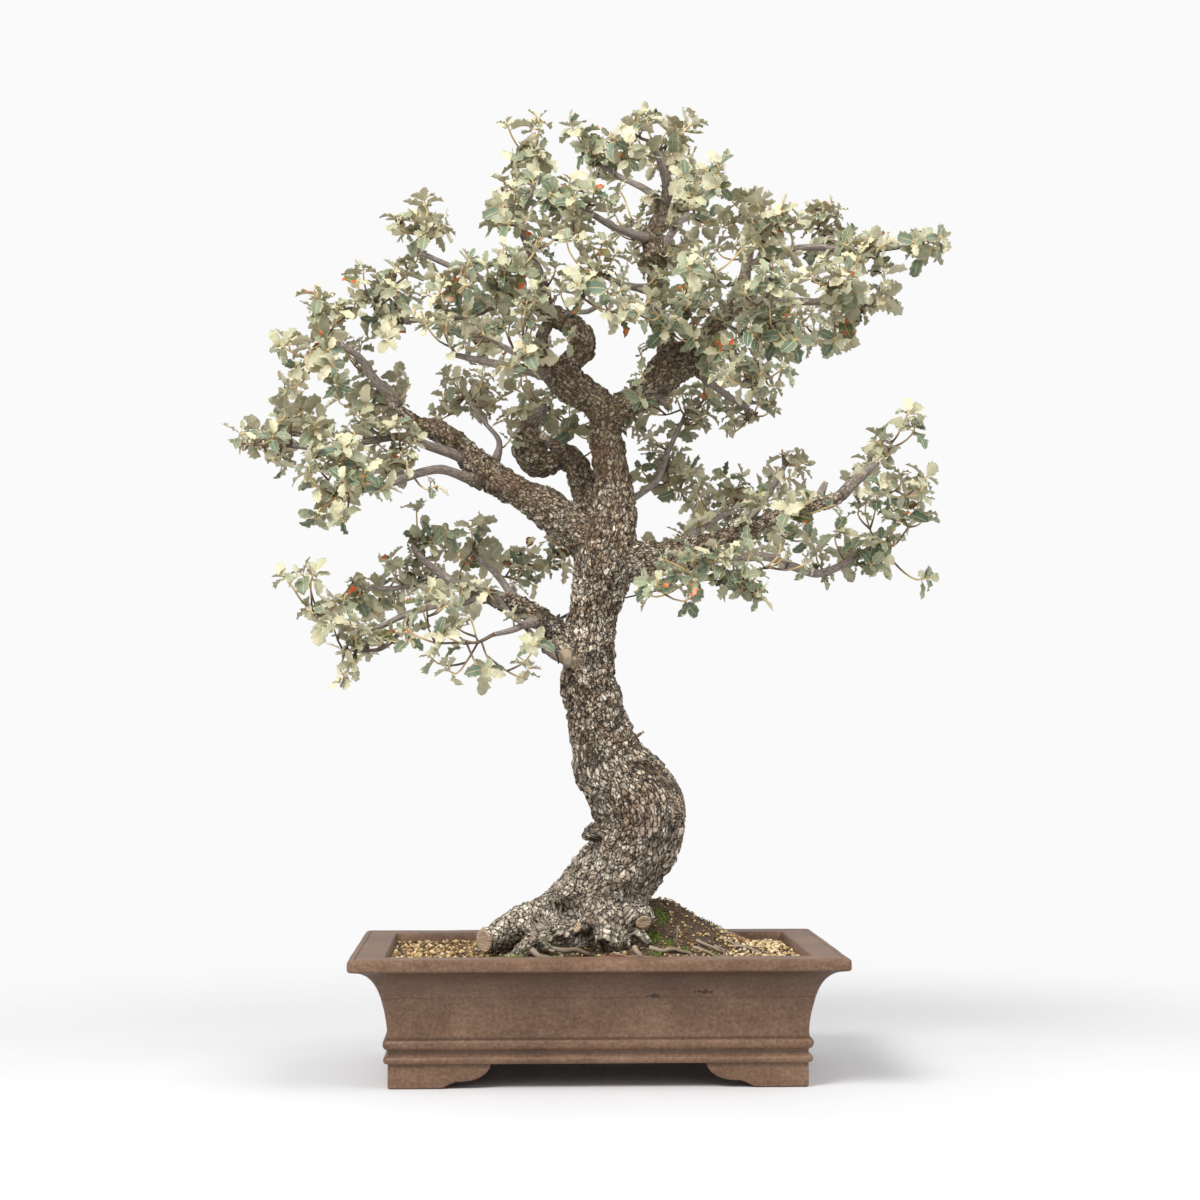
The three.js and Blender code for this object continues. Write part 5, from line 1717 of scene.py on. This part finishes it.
@dataclass
class Pot:
    """The rectangular clay pot on four cloud feet, in millimetres until it is placed.

    Attributes:
        stand: the pot's place.
        width: the rim's length.
        depth: the rim's width.
        corner: the rounding of its corners.
        floor: the height of the inner floor.
        slab: the legs' thickness.
    """

    stand: Stand
    width: float = 450.0
    depth: float = 302.0
    corner: float = 5.0
    floor: float = 32.0
    slab: float = 12.0

    # Runs of [inset from the rim's edge, height]; a run is smooth and two runs meet in a crease
    OUTSIDE = (
        ((34.2, 22), (32.2, 22.4), (31.0, 24.4), (31.3, 27.2), (33.2, 29.0), (34.2, 29.6)),
        ((34.2, 29.6), (34.6, 31.8), (34.1, 34.0)),
        ((34.1, 34.0), (32.0, 35.2), (30.4, 38.2), (30.6, 41.6), (32.4, 44.0), (33.6, 44.6)),
        ((33.6, 44.6), (34.0, 50), (33.4, 58), (32.2, 66), (30.6, 73), (28.6, 81.2)),
        ((28.6, 81.2), (28.8, 81.9), (28.0, 82.7)),
        ((28.0, 82.7), (25.4, 90), (21.0, 97.4), (15.6, 102.6), (9.4, 105.6), (3.2, 106.8)),
        (
            (3.2, 106.8), (1.2, 107.2), (0.1, 108.6), (0.0, 111), (0.0, 114.4), (0.5, 116.6), (2.2, 117.9),
            (4.4, 118),
        ),
        ((4.4, 118), (5.6, 118)), ((5.6, 118), (6.3, 117.1)), ((6.3, 117.1), (7.1, 118)),
    )
    INSIDE = (
        ((7.1, 118), (18, 117.8), (29.8, 118)),
        ((29.8, 118), (31.6, 117.5), (32.3, 115.6), (34.0, 106), (38.0, 84)),
        ((38.0, 84), (43.6, 56), (45.6, 32)),
    )
    # The drain holes' distance from the middle, and their radius
    DRAIN_X = 95
    DRAIN_RADIUS = 11
    # The legs' lengths along the front and along the side, and how far they stand in from the rim
    LEGS = (93, 78)
    LEG_INSET = 35
    # The foot's side view as [along, height] from the corner, with its scrolled end
    FOOT = (
        (0, 0), (41, 0), (45.6, 0.8), (50.6, 3.4), (55.6, 5.8), (62, 6.0), (68, 6.6), (75, 9.2),
        (80.6, 13.0),
        (83.8, 17.6), (85, 23), (0, 23),
    )

    def moved_in(self, place: Vector, inset: float) -> tuple[float, float]:
        """Move a point of the rim's outline in by an inset, with the corners' rounding kept.

        Args:
            place: the point on the rim's outline.
            inset: how far it moves in.

        Returns:
            The moved x and y.
        """
        result = []
        for value, half in ((place.x, self.width / 2), (place.y, self.depth / 2)):
            straight = half - self.corner
            if abs(value) > straight:
                result.append(value - math.copysign(inset, value))
            else:
                result.append(value * (straight - inset) / straight)
        return result[0], result[1]

    def body(self) -> bpy.types.Mesh:
        """Sweep the profile round the outline and close the pot's floor and underside.

        Returns:
            The mesh.
        """
        bm = bmesh.new()
        outline = bmesh.ops.create_grid(bm, x_segments=1, y_segments=1, size=1.0)["verts"]
        bmesh.ops.scale(bm, vec=(self.width / 2, self.depth / 2, 1), verts=outline)
        bmesh.ops.bevel(bm, geom=bm.verts[:], offset=self.corner, segments=4, profile=0.5, affect="VERTICES")
        straight = [edge for edge in bm.edges if edge.calc_length() > 10 * self.corner]
        bmesh.ops.subdivide_edges(bm, edges=straight, cuts=23)
        profile: list[tuple[float, float]] = []
        creases = set()
        for run in (*self.OUTSIDE, *self.INSIDE):
            rows = np.array(run, float)
            if len(run) > 2:
                rows = smooth_rows(rows, 1.6)
            profile += [tuple(row) for row in rows[bool(profile) :]]
            creases.add(len(profile) - 1)
        rim, base = list(bm.edges), {corner: corner.co.copy() for corner in bm.verts}
        for corner, place in base.items():
            corner.co = (*self.moved_in(place, profile[0][0]), profile[0][1])
        for number, (inset, height) in enumerate(profile[1:], 1):
            made = bmesh.ops.extrude_edge_only(bm, edges=rim)["geom"]
            corners = of_kind(made, bmesh.types.BMVert)
            places = {}
            for corner in corners:
                others = (edge.other_vert(corner) for edge in corner.link_edges)
                places[corner] = next(base[other] for other in others if other in base)
                corner.co = (*self.moved_in(places[corner], inset), height)
            base = places
            rim = [edge for edge in of_kind(made, bmesh.types.BMEdge) if set(edge.verts) <= base.keys()]
            if number in creases:
                for edge in rim:
                    edge.smooth = False
        bmesh.ops.contextual_create(bm, geom=rim)
        bmesh.ops.recalc_face_normals(bm, faces=bm.faces[:])
        return self.with_drains(to_mesh(bm, "pot_body"))

    def with_drains(self, mesh: bpy.types.Mesh) -> bpy.types.Mesh:
        """Bore the two drain holes.

        Args:
            mesh: the pot's body, which is dropped.

        Returns:
            The bored body.
        """
        bm = bmesh.new()
        for side in Side:
            place = Matrix.Translation((side.value * self.DRAIN_X, 0, self.floor - 5))
            size = {"radius1": self.DRAIN_RADIUS, "radius2": self.DRAIN_RADIUS, "depth": 20}
            bmesh.ops.create_cone(bm, cap_ends=True, segments=32, matrix=place, **size)
        borer = new_object("borer", to_mesh(bm, "borer"))
        bored = modified(mesh, ("BOOLEAN", {"operation": "DIFFERENCE", "object": borer, "solver": "EXACT"}))
        bpy.data.meshes.remove(borer.data)
        return bored

    def leg(self, reach: float, turned: bool) -> bpy.types.Mesh:
        """Cut one scrolled leg out of a slab, which lies along the front or is turned to lie along the side.

        Args:
            reach: the leg's length.
            turned: whether it lies along the side.

        Returns:
            The mesh.
        """
        bm = bmesh.new()
        outline = [bm.verts.new((along * reach / 85, 0, height)) for along, height in self.FOOT]
        made = bmesh.ops.extrude_face_region(bm, geom=[bm.faces.new(outline)])["geom"]
        bmesh.ops.translate(bm, vec=(0, self.slab, 0), verts=of_kind(made, bmesh.types.BMVert))
        if turned:
            for corner in bm.verts:
                corner.co.x, corner.co.y = corner.co.y, corner.co.x
        bmesh.ops.recalc_face_normals(bm, faces=bm.faces[:])
        return to_mesh(bm, "leg")

    def feet(self) -> bpy.types.Mesh:
        """Join two scrolled legs at each corner.

        Returns:
            The mesh.
        """
        side = new_object("side_leg", self.leg(self.LEGS[1], True))
        joint = ("BOOLEAN", {"operation": "UNION", "object": side, "solver": "EXACT"})
        both = modified(self.leg(self.LEGS[0], False), joint)
        bpy.data.meshes.remove(side.data)
        bm = bmesh.new()
        bm.from_mesh(both)
        bmesh.ops.dissolve_limit(bm, angle_limit=math.radians(1), verts=bm.verts[:], edges=bm.edges[:])
        edges = [edge for edge in bm.edges if edge.calc_face_angle(0) > 0.6]
        bmesh.ops.bevel(bm, geom=edges, offset=1.6, segments=3, profile=0.5, affect="EDGES", material=-1)
        corner = (self.LEG_INSET - self.width / 2, self.LEG_INSET - self.depth / 2, 0)
        bmesh.ops.translate(bm, vec=corner, verts=bm.verts)
        leg = to_mesh(bm, "leg")
        bm = bmesh.new()
        for across in Side:
            for along in Side:
                corners = add_copy(bm, leg)
                bmesh.ops.scale(bm, vec=(across.value, along.value, 1), verts=corners)
        bmesh.ops.recalc_face_normals(bm, faces=bm.faces[:])
        return to_mesh(bm, "feet")

    def handmade(self, mesh: bpy.types.Mesh) -> bpy.types.Mesh:
        """Place a piece in the frame with the slight waviness of hand-pressed clay.

        Args:
            mesh: the piece, in millimetres.

        Returns:
            The same mesh.
        """
        places, normals = columns(mesh), columns(mesh, normals=True)
        spots = [Vector(place) for place in places]
        swell = np.array([noise.noise(spot * 0.021) + 0.35 * noise.noise(spot * 0.11) for spot in spots])
        swell *= np.clip((places[:, 2] - 24) / 6, 0, 1)
        moved = (places + normals * 0.45 * swell[:, None]) * MM + np.array(self.stand.origin)
        write_places(mesh, moved)
        return mesh

    def build(self) -> None:
        """Make the pot's pieces."""
        clay = ClayFinish().material()
        body = self.handmade(self.body())
        body.set_sharp_from_angle(angle=math.radians(38))
        finish_piece("pot_body", body, [clay], "clay", "pot")
        feet = self.handmade(self.feet())
        feet.set_sharp_from_angle(angle=math.radians(25))
        finish_piece("pot_feet", feet, [clay], "clay", "pot")


@dataclass
class Ground:
    """The earth in the pot with its gravel, moss, fine roots and fallen twigs.

    Attributes:
        stand: the pot's place.
        level: the height of the flat earth, in millimetres.
        half_width: half of the bed's length.
        half_depth: half of its width.
        seed: the start of the chance.
        grains: how many grains of gravel there are.
        bits: how many bits of litter are tried.
    """

    stand: Stand
    level: float = 110.0
    half_width: float = 191.6
    half_depth: float = 117.6
    seed: int = 5
    grains: int = 3600
    bits: int = 420

    # The bed's foot: its shares of the bed's length and width, and its height
    FOOT = (0.93, 0.88, 33.5)
    # Mounds: x, y, height and the two reaches
    MOUNDS = ((22, 14, 25, 74, 62), (82, 40, 9, 46, 40), (-48, -20, 7, 40, 34), (62, 22, 25, 70, 48))
    # Moss cushions: x, y and reach
    MOSS = (
        (-78, -70, 10), (-66, -88, 7), (-36, -86, 9), (-44, -104, 5), (-12, -92, 6), (2, -84, 6),
        (20, -96, 5),
        (54, -34, 8), (70, -40, 5), (62, -10, 8), (84, -50, 5), (48, -88, 7), (54, -64, 6), (110, -52, 5),
        (76, 60, 22), (40, 84, 16), (-60, 60, 22), (-92, 20, 10), (-20, 96, 14), (120, 40, 10),
        (-104, -60, 5),
    )
    # Fine roots: points of x, y and lift over the earth, then the two radii
    ROOTS = (
        (((48, -62, 5), (60, -60, 4), (78, -56, 3), (92, -66, 2), (104, -80, -1)), 3.0, 1.3),
        (((90, -46, 3), (104, -56, 2), (120, -64, 2), (132, -80, -1)), 2.2, 1.0),
        (((96, -28, 3), (112, -40, 3), (128, -56, 1), (138, -74, -1)), 2.0, 0.8),
        (((112, -30, 2), (118, -46, 4), (121, -60, 1), (124, -70, -1)), 1.8, 1.0),
        (((132, -16, 2), (146, -24, 3), (160, -44, 2), (172, -70, -1)), 2.0, 0.9),
        (((118, -6, 2), (140, -16, 2), (158, -20, 1), (176, -34, -1)), 1.8, 0.8),
        (((74, -30, 3), (78, -36, 16), (76, -42, 10), (73, -46, 2)), 1.5, 1.1),
        (((96, -84, 3), (116, -92, 2), (140, -96, 1), (160, -92, -1)), 1.5, 0.7),
        (((-60, -60, 6), (-52, -74, 4), (-40, -90, 3), (-28, -98, 0)), 3.8, 2.2),
        (((-50, -62, 9), (-34, -70, 8), (-20, -74, 6), (-8, -70, 3)), 3.4, 2.6),
        (((-30, -66, 3), (-40, -84, 2), (-56, -98, 0)), 2.4, 1.2),
        (((36, -66, 6), (40, -80, 3), (44, -96, 1), (46, -104, -1)), 3.0, 1.6),
        (((14, -70, 4), (26, -84, 3), (46, -92, 2), (62, -92, 0)), 1.8, 1.0),
        (((-60, 50, 3), (-88, 62, 2), (-112, 80, -1)), 3.0, 1.2),
        (((40, 76, 3), (58, 94, 1), (84, 106, -1)), 2.8, 1.2),
        (((-80, 10, 4), (-104, 6, 2), (-132, 14, -1)), 2.8, 1.2),
        (((120, 20, 2), (142, 34, 2), (160, 60, -1)), 2.2, 1.0),
    )
    # Fallen reddish twigs, in the same way
    TWIGS = (
        (((-40, -104, 2), (-14, -100, 4), (10, -96, 6), (30, -98, 4)), 1.3, 0.8),
        (((10, -94, 6), (26, -98, 4), (46, -106, 1)), 1.3, 0.7),
        (((84, -104, 2), (98, -104, 2), (116, -103, 2)), 1.5, 1.2),
        (((128, 52, 2), (150, 40, 3), (164, 22, 1)), 1.0, 0.7),
        (((60, -100, 2), (72, -92, 3), (80, -84, 2)), 0.8, 0.6),
    )

    def height(self, x: float, y: float) -> float:
        """Give the earth's height at a place, all in millimetres.

        Args:
            x: the place across.
            y: the place in depth.

        Returns:
            The height.
        """
        lift = sum(h * math.exp(-(((x - a) / u) ** 2) - ((y - b) / v) ** 2) for a, b, h, u, v in self.MOUNDS)
        spot = Vector((x, y, 0.0))
        inner = smoothstep(0, 14, self.half_width - abs(x)) * smoothstep(0, 14, self.half_depth - abs(y))
        uneven = 2.6 * noise.noise(spot / 17) + 1.1 * noise.noise(spot / 5)
        return self.level - 1.5 + lift + float(inner) * uneven

    def mossy(self, x: float, y: float) -> float:
        """Tell from 0 to 1 how mossy a place is.

        Args:
            x: the place across.
            y: the place in depth.

        Returns:
            The share.
        """
        ragged = 0.35 * noise.noise(Vector((x, y, 40.0)) / 7)
        gaps = (math.hypot(x - a, y - b) / reach + ragged for a, b, reach in self.MOSS)
        return max(float(1 - smoothstep(0.6, 1.1, gap)) for gap in gaps)

    def placed(self, bm: bmesh.types.BMesh, name: str) -> bpy.types.Mesh:
        """Move a finished edit mesh from the pot's millimetres to its place in the frame.

        Args:
            bm: the edit mesh.
            name: the mesh's name.

        Returns:
            The mesh.
        """
        place = Matrix.Translation(self.stand.origin) @ Matrix.Scale(MM, 4)
        bmesh.ops.transform(bm, matrix=place, verts=bm.verts)
        return to_mesh(bm, name)

    def earth(self) -> bpy.types.Mesh:
        """Raise the earth's surface and close it down to the pot's floor.

        Returns:
            The mesh.
        """
        bm = bmesh.new()
        made = bmesh.ops.create_grid(bm, x_segments=150, y_segments=92, size=1.0)
        bmesh.ops.scale(bm, vec=(self.half_width, self.half_depth, 1), verts=made["verts"])
        skirt = bmesh.ops.extrude_edge_only(bm, edges=[edge for edge in bm.edges if edge.is_boundary])["geom"]
        low = set(of_kind(skirt, bmesh.types.BMVert))
        moss = bm.verts.layers.float.new("moss")
        for corner in bm.verts:
            x, y = corner.co.x, corner.co.y
            if corner in low:
                corner.co = (x * self.FOOT[0], y * self.FOOT[1], self.FOOT[2])
            else:
                corner[moss] = self.mossy(x, y)
                corner.co.z = self.height(x, y) + 1.6 * corner[moss]
        rim = [edge for edge in bm.edges if edge.is_boundary]
        bmesh.ops.contextual_create(bm, geom=rim)
        bmesh.ops.recalc_face_normals(bm, faces=bm.faces[:])
        return self.placed(bm, "earth")

    @staticmethod
    def tumbled(chance: random.Random, most: float, axis: str, least: float = 0.0) -> Matrix:
        """Turn about an axis by an angle between two bounds."""
        return Matrix.Rotation(chance.uniform(least, most), 4, axis)

    def gravel(self) -> bpy.types.Mesh:
        """Scatter the grains, dense at both ends and thin between the roots.

        Returns:
            The mesh.
        """
        chance = random.Random(self.seed)
        bm = bmesh.new()
        tint = bm.verts.layers.float.new("tint")
        laid = 0
        while laid < self.grains:
            x = chance.uniform(-self.half_width + 1.5, self.half_width - 1.5)
            y = chance.uniform(-self.half_depth + 1.5, self.half_depth - 1.5)
            clump = 0.5 + 0.5 * noise.noise(Vector((x, y, 9.0)) / 26)
            ends = float(smoothstep(80, 130, abs(x - 14)))
            if chance.random() > 0.48 + 0.52 * ends + 0.3 * (clump - 0.5) or self.mossy(x, y) > 0.5:
                continue
            laid += 1
            reach = chance.uniform(0.8, 2.6) * (0.84 + 0.16 * ends)
            place = Matrix.Translation((x, y, self.height(x, y) + reach * chance.uniform(0.1, 0.9)))
            place @= self.tumbled(chance, math.tau, "Z") @ self.tumbled(chance, math.tau, "X")
            wide, tall = chance.uniform(0.6, 1.0), chance.uniform(0.5, 0.8)
            place @= Matrix.Diagonal((reach, reach * wide, reach * tall, 1))
            made = bmesh.ops.create_icosphere(bm, subdivisions=1, radius=1.0, matrix=place)["verts"]
            shade = chance.random() * (0.8 + 0.2 * ends) + 0.14 * ends * math.copysign(1.0, x)
            fill_layer(made, tint, shade)
        mesh = self.placed(bm, "gravel")
        mesh.set_sharp_from_angle(angle=math.radians(30))
        return mesh

    def moss(self) -> bpy.types.Mesh:
        """Stand short pointed moss stems on the cushions.

        Returns:
            The mesh.
        """
        chance = random.Random(self.seed + 1)
        bm = bmesh.new()
        tint = bm.verts.layers.float.new("tint")
        for a, b, reach in self.MOSS:
            for _ in range(round(reach * reach * 0.95)):
                angle, share = chance.uniform(0, math.tau), math.sqrt(chance.random())
                x, y = a + reach * share * math.cos(angle), b + reach * share * math.sin(angle)
                if self.mossy(x, y) < 0.35:
                    continue
                tall = chance.uniform(1.6, 4.2)
                lean = self.tumbled(chance, 0.6, "X", -0.6) @ self.tumbled(chance, 0.6, "Y", -0.6)
                place = Matrix.Translation((x, y, self.height(x, y) + 1.4 + tall * 0.35)) @ lean
                size = {"radius1": 0.55, "radius2": 0.12, "depth": tall}
                made = bmesh.ops.create_cone(bm, cap_ends=True, segments=4, matrix=place, **size)["verts"]
                fill_layer(made, tint, chance.random())
        return self.placed(bm, "moss")

    def litter(self) -> bpy.types.Mesh:
        """Strew short bits of dead twig and root over the earth.

        Returns:
            The mesh.
        """
        chance = random.Random(self.seed + 2)
        bm = bmesh.new()
        tint = bm.verts.layers.float.new("tint")
        for _ in range(self.bits):
            x, y = chance.gauss(40, 62), chance.uniform(-self.half_depth + 6, self.half_depth - 6)
            if abs(x) > self.half_width - 8:
                continue
            long, slim = chance.uniform(3, 10), chance.uniform(0.3, 0.8)
            lie = self.tumbled(chance, math.tau, "Z") @ self.tumbled(chance, 1.6, "X", 1.2)
            place = Matrix.Translation((x, y, self.height(x, y) + chance.uniform(0.8, 2.6))) @ lie
            size = {"radius1": slim, "radius2": slim * 0.7, "depth": long}
            made = bmesh.ops.create_cone(bm, cap_ends=True, segments=5, matrix=place, **size)["verts"]
            fill_layer(made, tint, chance.random())
        return self.placed(bm, "litter")

    def strands(self, lines: Iterable[Strand]) -> bpy.types.Mesh:
        """Lay roots or twigs along the earth.

        Args:
            lines: for each, its points as x, y and lift, and its two radii.

        Returns:
            The mesh.
        """
        bm = bmesh.new()
        bm.verts.layers.float.new("age")
        for points, wide, slim in lines:
            places = [self.stand.at(x, y, self.height(x, y) + lift) for x, y, lift in points]
            radii = [MM * 0.8 * (wide + (slim - wide) * n / (len(points) - 1)) for n in range(len(points))]
            path = Path.through(places, radii, 3 * MM)
            stray = [noise.noise_vector(Vector(place) * 70) * 3.2 * MM for place in path.centres]
            path = Path(path.centres + np.array(stray), path.radii)
            add_tube(bm, path, 8, (0.7, 0.1))
        return to_mesh(bm, "strands")

    def build(self) -> None:
        """Make the ground's pieces."""
        self.lay("earth", self.earth(), EarthFinish())
        sand = (tone(96, 74, 48), tone(140, 110, 72), tone(176, 142, 94))
        stone = (*sand, tone(206, 176, 124), tone(228, 208, 170))
        self.lay("gravel", self.gravel(), SpreadFinish("gravel", stone))
        dead = (tone(58, 44, 34), tone(104, 84, 66), tone(168, 148, 122))
        self.lay("litter", self.litter(), SpreadFinish("litter", dead, 0.9, 700.0))
        green = (tone(38, 52, 14), tone(78, 102, 26), tone(138, 158, 56))
        self.lay("moss", self.moss(), SpreadFinish("moss", green, 0.9, 1500.0))
        root = (tone(84, 70, 56), tone(128, 112, 94), tone(178, 162, 142))
        skin = SpreadFinish("root_skin", root, 0.9, 420.0, "age")
        self.lay("fine_roots", self.strands(self.ROOTS), skin, "bark")
        twig = (tone(96, 58, 44), tone(140, 88, 68), tone(172, 120, 96))
        skin = SpreadFinish("twig_skin", twig, 0.8, 420.0, "age")
        self.lay("fallen_twigs", self.strands(self.TWIGS), skin, "bark")

    @staticmethod
    def lay(name: str, mesh: bpy.types.Mesh, look: EarthFinish | SpreadFinish, slot: str = "soil") -> None:
        """Hand over a piece that stands for the packed soil."""
        finish_piece(name, mesh, [look.material()], slot, "soil")


@dataclass
class Wires:
    """The guy wire between the two lowest branches, and the shaping wire on a bare twig.

    Attributes:
        skeleton: the limbs' lines.
        gauge: the wire's radius in metres.
    """

    skeleton: Skeleton
    gauge: float = 0.8 * MM

    LEFT = ("left_low", 0.27)
    RIGHT = ("right_low_lower", 0.52)
    BEHIND = ((-16, 35, 435), (16, 37, 444))
    # The turn in radians from one sample to the next, of the tails and of the shaping wire
    TWIST = 1.1
    WIND = 0.95

    def turns(self, path: Path, share: float, count: float) -> list[Vector]:
        """Wind a wire round a limb, from its back round to its back.

        Args:
            path: the limb.
            share: where along the limb the winding sits.
            count: how many turns it makes.

        Returns:
            The wire's points in order.
        """
        at = round(share * (len(path.centres) - 1))
        centre, tangent = Vector(path.centres[at]), Vector(path.tangents[at])
        reach = float(path.radii[at]) * 1.1 + self.gauge
        back = Vector((0, 1, 0))
        back = (back - tangent * back.dot(tangent)).normalized()
        side = tangent.cross(back)
        steps = round(count * 20)
        points = []
        for step in range(steps + 1):
            angle = math.tau * count * step / steps
            shift = tangent * (step / steps - 0.5) * 2.2 * self.gauge * count
            points.append(centre + shift + (back * math.cos(angle) + side * math.sin(angle)) * reach)
        return points

    def guy(self) -> bpy.types.Mesh:
        """Draw the wire with a winding at each end and a twisted tail by the left one.

        Returns:
            The mesh.
        """
        limbs, seen = self.skeleton.limbs, self.skeleton.stand.seen
        start = self.turns(limbs[self.LEFT[0]], self.LEFT[1], 1.0)
        end = self.turns(limbs[self.RIGHT[0]], self.RIGHT[1], 1.0)
        run = [start[-1], *(seen(*point) for point in self.BEHIND), end[0]]
        bm = bmesh.new()
        for points in (start, run, end, self.tail(run, 0.02, 0.16, 0.0), self.tail(run, 0.02, 0.16, math.pi)):
            add_tube(bm, Path.through(points, [self.gauge] * len(points), 2.4 * MM), 8)
        return to_mesh(bm, "guy_wire")

    def tail(self, run: list[Vector], first: float, last: float, start: float) -> list[Vector]:
        """Twist a tail round the run's first stretch.

        Args:
            run: the run's points.
            first: the share of the run where the tail starts.
            last: the share where it ends.
            start: the angle at its start.

        Returns:
            The tail's points.
        """
        line = Path.through(run, [self.gauge] * len(run), 1.0 * MM)
        low, high = (round(share * (len(line.centres) - 1)) for share in (first, last))
        points = []
        for at in range(low, high):
            angle = start + self.TWIST * (at - low)
            swing = line.across[at] * math.cos(angle) + line.beside[at] * math.sin(angle)
            points.append(Vector(line.centres[at] + swing * 1.5 * self.gauge))
        return points

    def shaping(self) -> bpy.types.Mesh:
        """Wind the dark shaping wire along the bare twig.

        Returns:
            The mesh.
        """
        path = self.skeleton.limbs["left_low_bare"]
        points = []
        for at in range(4, len(path.centres) - 3):
            angle = self.WIND * at
            swing = path.across[at] * math.cos(angle) + path.beside[at] * math.sin(angle)
            points.append(Vector(path.centres[at] + swing * (path.radii[at] + 0.9 * MM)))
        bm = bmesh.new()
        add_tube(bm, Path.through(points, [0.7 * MM] * len(points), 1.6 * MM), 8)
        return to_mesh(bm, "shaping_wire")

    def build(self) -> None:
        """Make the wires and give the drain meshes a better finish."""
        steel = WireFinish("tie_wire", tone(70, 74, 84), tone(150, 152, 158), 0.8)
        finish_piece("tie_wire", self.guy(), [steel.material()], "wire", "guy_wire")
        dark = WireFinish("dark_wire", tone(52, 50, 52), tone(116, 110, 106), 0.7)
        finish_piece("shaping_wire", self.shaping(), [dark.material()], "wire", "guy_wire")
        net = SpreadFinish("mesh_plastic", (tone(30, 32, 36), tone(44, 46, 50)), 0.6, 300.0).material()
        for name in ("drain_mesh_left", "drain_mesh_right"):
            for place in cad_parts[name].material_slots:
                place.material = net


@dataclass(frozen=True)
class Studio:
    """The pale floor, the soft light and the camera of the photograph's viewing angle.

    Attributes:
        stand: the pot's place.
        lens: the focal length in millimetres.
        turn: how far the eye looks to the right, in radians.
        rise: how far it looks up, in radians.
        air: the strength of the light from all round.
    """

    stand: Stand
    lens: float = 72.39
    turn: float = 0.0388
    rise: float = 0.0451
    air: float = 0.76

    def camera(self) -> None:
        """Place the camera at the eye."""
        data = bpy.data.cameras.new("camera")
        data.lens, data.sensor_width = self.lens, 36.0
        data.clip_end = 50.0
        camera = new_object("camera", data)
        camera.location = self.stand.at(*EYE)
        level = math.cos(self.rise)
        heading = Vector((math.sin(self.turn) * level, math.cos(self.turn) * level, math.sin(self.rise)))
        camera.rotation_euler = heading.to_track_quat("-Z", "Y").to_euler()
        bpy.context.scene.camera = camera

    def floor(self) -> None:
        """Lay a pale floor under the feet that fades out into the pale air."""
        bm = bmesh.new()
        bmesh.ops.create_circle(bm, cap_ends=True, segments=96, radius=2.0)
        mesh = to_mesh(bm, "floor")
        recipe = Recipe("studio_floor", 0.9)
        recipe.feed(recipe.shader.inputs["Alpha"], recipe.band(recipe.length(recipe.place), 1.1, 0.35))
        stops = ((0.3, tone(208, 208, 208)), (0.7, tone(214, 214, 214)))
        mesh.materials.append(recipe.done(recipe.ramp(recipe.noise(3.0, 3.0, 0.5), *stops)))
        piece = new_object("floor", mesh)
        piece.location = self.stand.at(0, 0, -0.4)

    def lamp(self, name: str, place: Vector, size: float, power: float) -> None:
        """Hang a square soft light that faces the tree.

        Args:
            name: the light's name.
            place: where it hangs.
            size: its side in metres.
            power: its power in watts.
        """
        data = bpy.data.lights.new(name, "AREA")
        data.shape, data.size, data.energy = "SQUARE", size, power
        lamp = new_object(name, data)
        lamp.location = place
        lamp.rotation_euler = (self.stand.at(0, 0, 450) - place).to_track_quat("-Z", "Y").to_euler()

    def build(self) -> None:
        """Set up the whole studio."""
        self.camera()
        self.floor()
        self.lamp("top_left_light", self.stand.at(-1400, -1700, 2450), 1.3, 92.0)
        self.lamp("top_right_light", self.stand.at(1700, -1000, 2200), 1.6, 32.0)
        world = bpy.data.worlds.new("studio_air")
        world.use_nodes = True
        tree = world.node_tree
        seen = tree.nodes["Background"]
        seen.inputs["Color"].default_value = tone(250, 250, 250)
        lit = tree.nodes.new("ShaderNodeBackground")
        lit.inputs["Color"].default_value = tone(248, 248, 250)
        lit.inputs["Strength"].default_value = self.air
        ray = tree.nodes.new("ShaderNodeLightPath")
        mixed = tree.nodes.new("ShaderNodeMixShader")
        tree.links.new(ray.outputs["Is Camera Ray"], mixed.inputs[0])
        tree.links.new(lit.outputs[0], mixed.inputs[1])
        tree.links.new(seen.outputs[0], mixed.inputs[2])
        tree.links.new(mixed.outputs[0], tree.nodes["World Output"].inputs["Surface"])
        bpy.context.scene.world = world
        bpy.context.scene.view_settings.view_transform = "Standard"


def main() -> None:
    """Build everything in order."""
    logging.basicConfig(level=logging.INFO, format="%(relativeCreated)6d ms  %(message)s")
    noise.seed_set(NOISE_SEED)
    stand = Stand()
    Studio(stand).build()
    skeleton = Skeleton(stand)
    Tree(skeleton).build()
    Wires(skeleton).build()
    Pot(stand).build()
    Ground(stand).build()
    looks = {
        "leaf_grey": LeafFinish("leaf_grey", (tone(106, 127, 107), tone(190, 191, 160), tone(222, 216, 184))),
        "leaf_pale": LeafFinish("leaf_pale", (tone(130, 144, 118), tone(207, 204, 172), tone(226, 219, 188))),
        "leaf_green": LeafFinish("leaf_green", (tone(82, 108, 88), tone(158, 169, 140), tone(216, 212, 178))),
        "felt": FeltFinish("leaf_felt", (tone(182, 179, 149), tone(213, 208, 178), tone(228, 221, 192))),
        "spotted": SpottedFinish(
            "leaf_spotted", (tone(48, 60, 28), tone(70, 84, 40), tone(104, 112, 60)), 0.35
        ),
    }
    Foliage(skeleton, looks).build()
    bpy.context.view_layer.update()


if __name__ == "__main__":
    main()
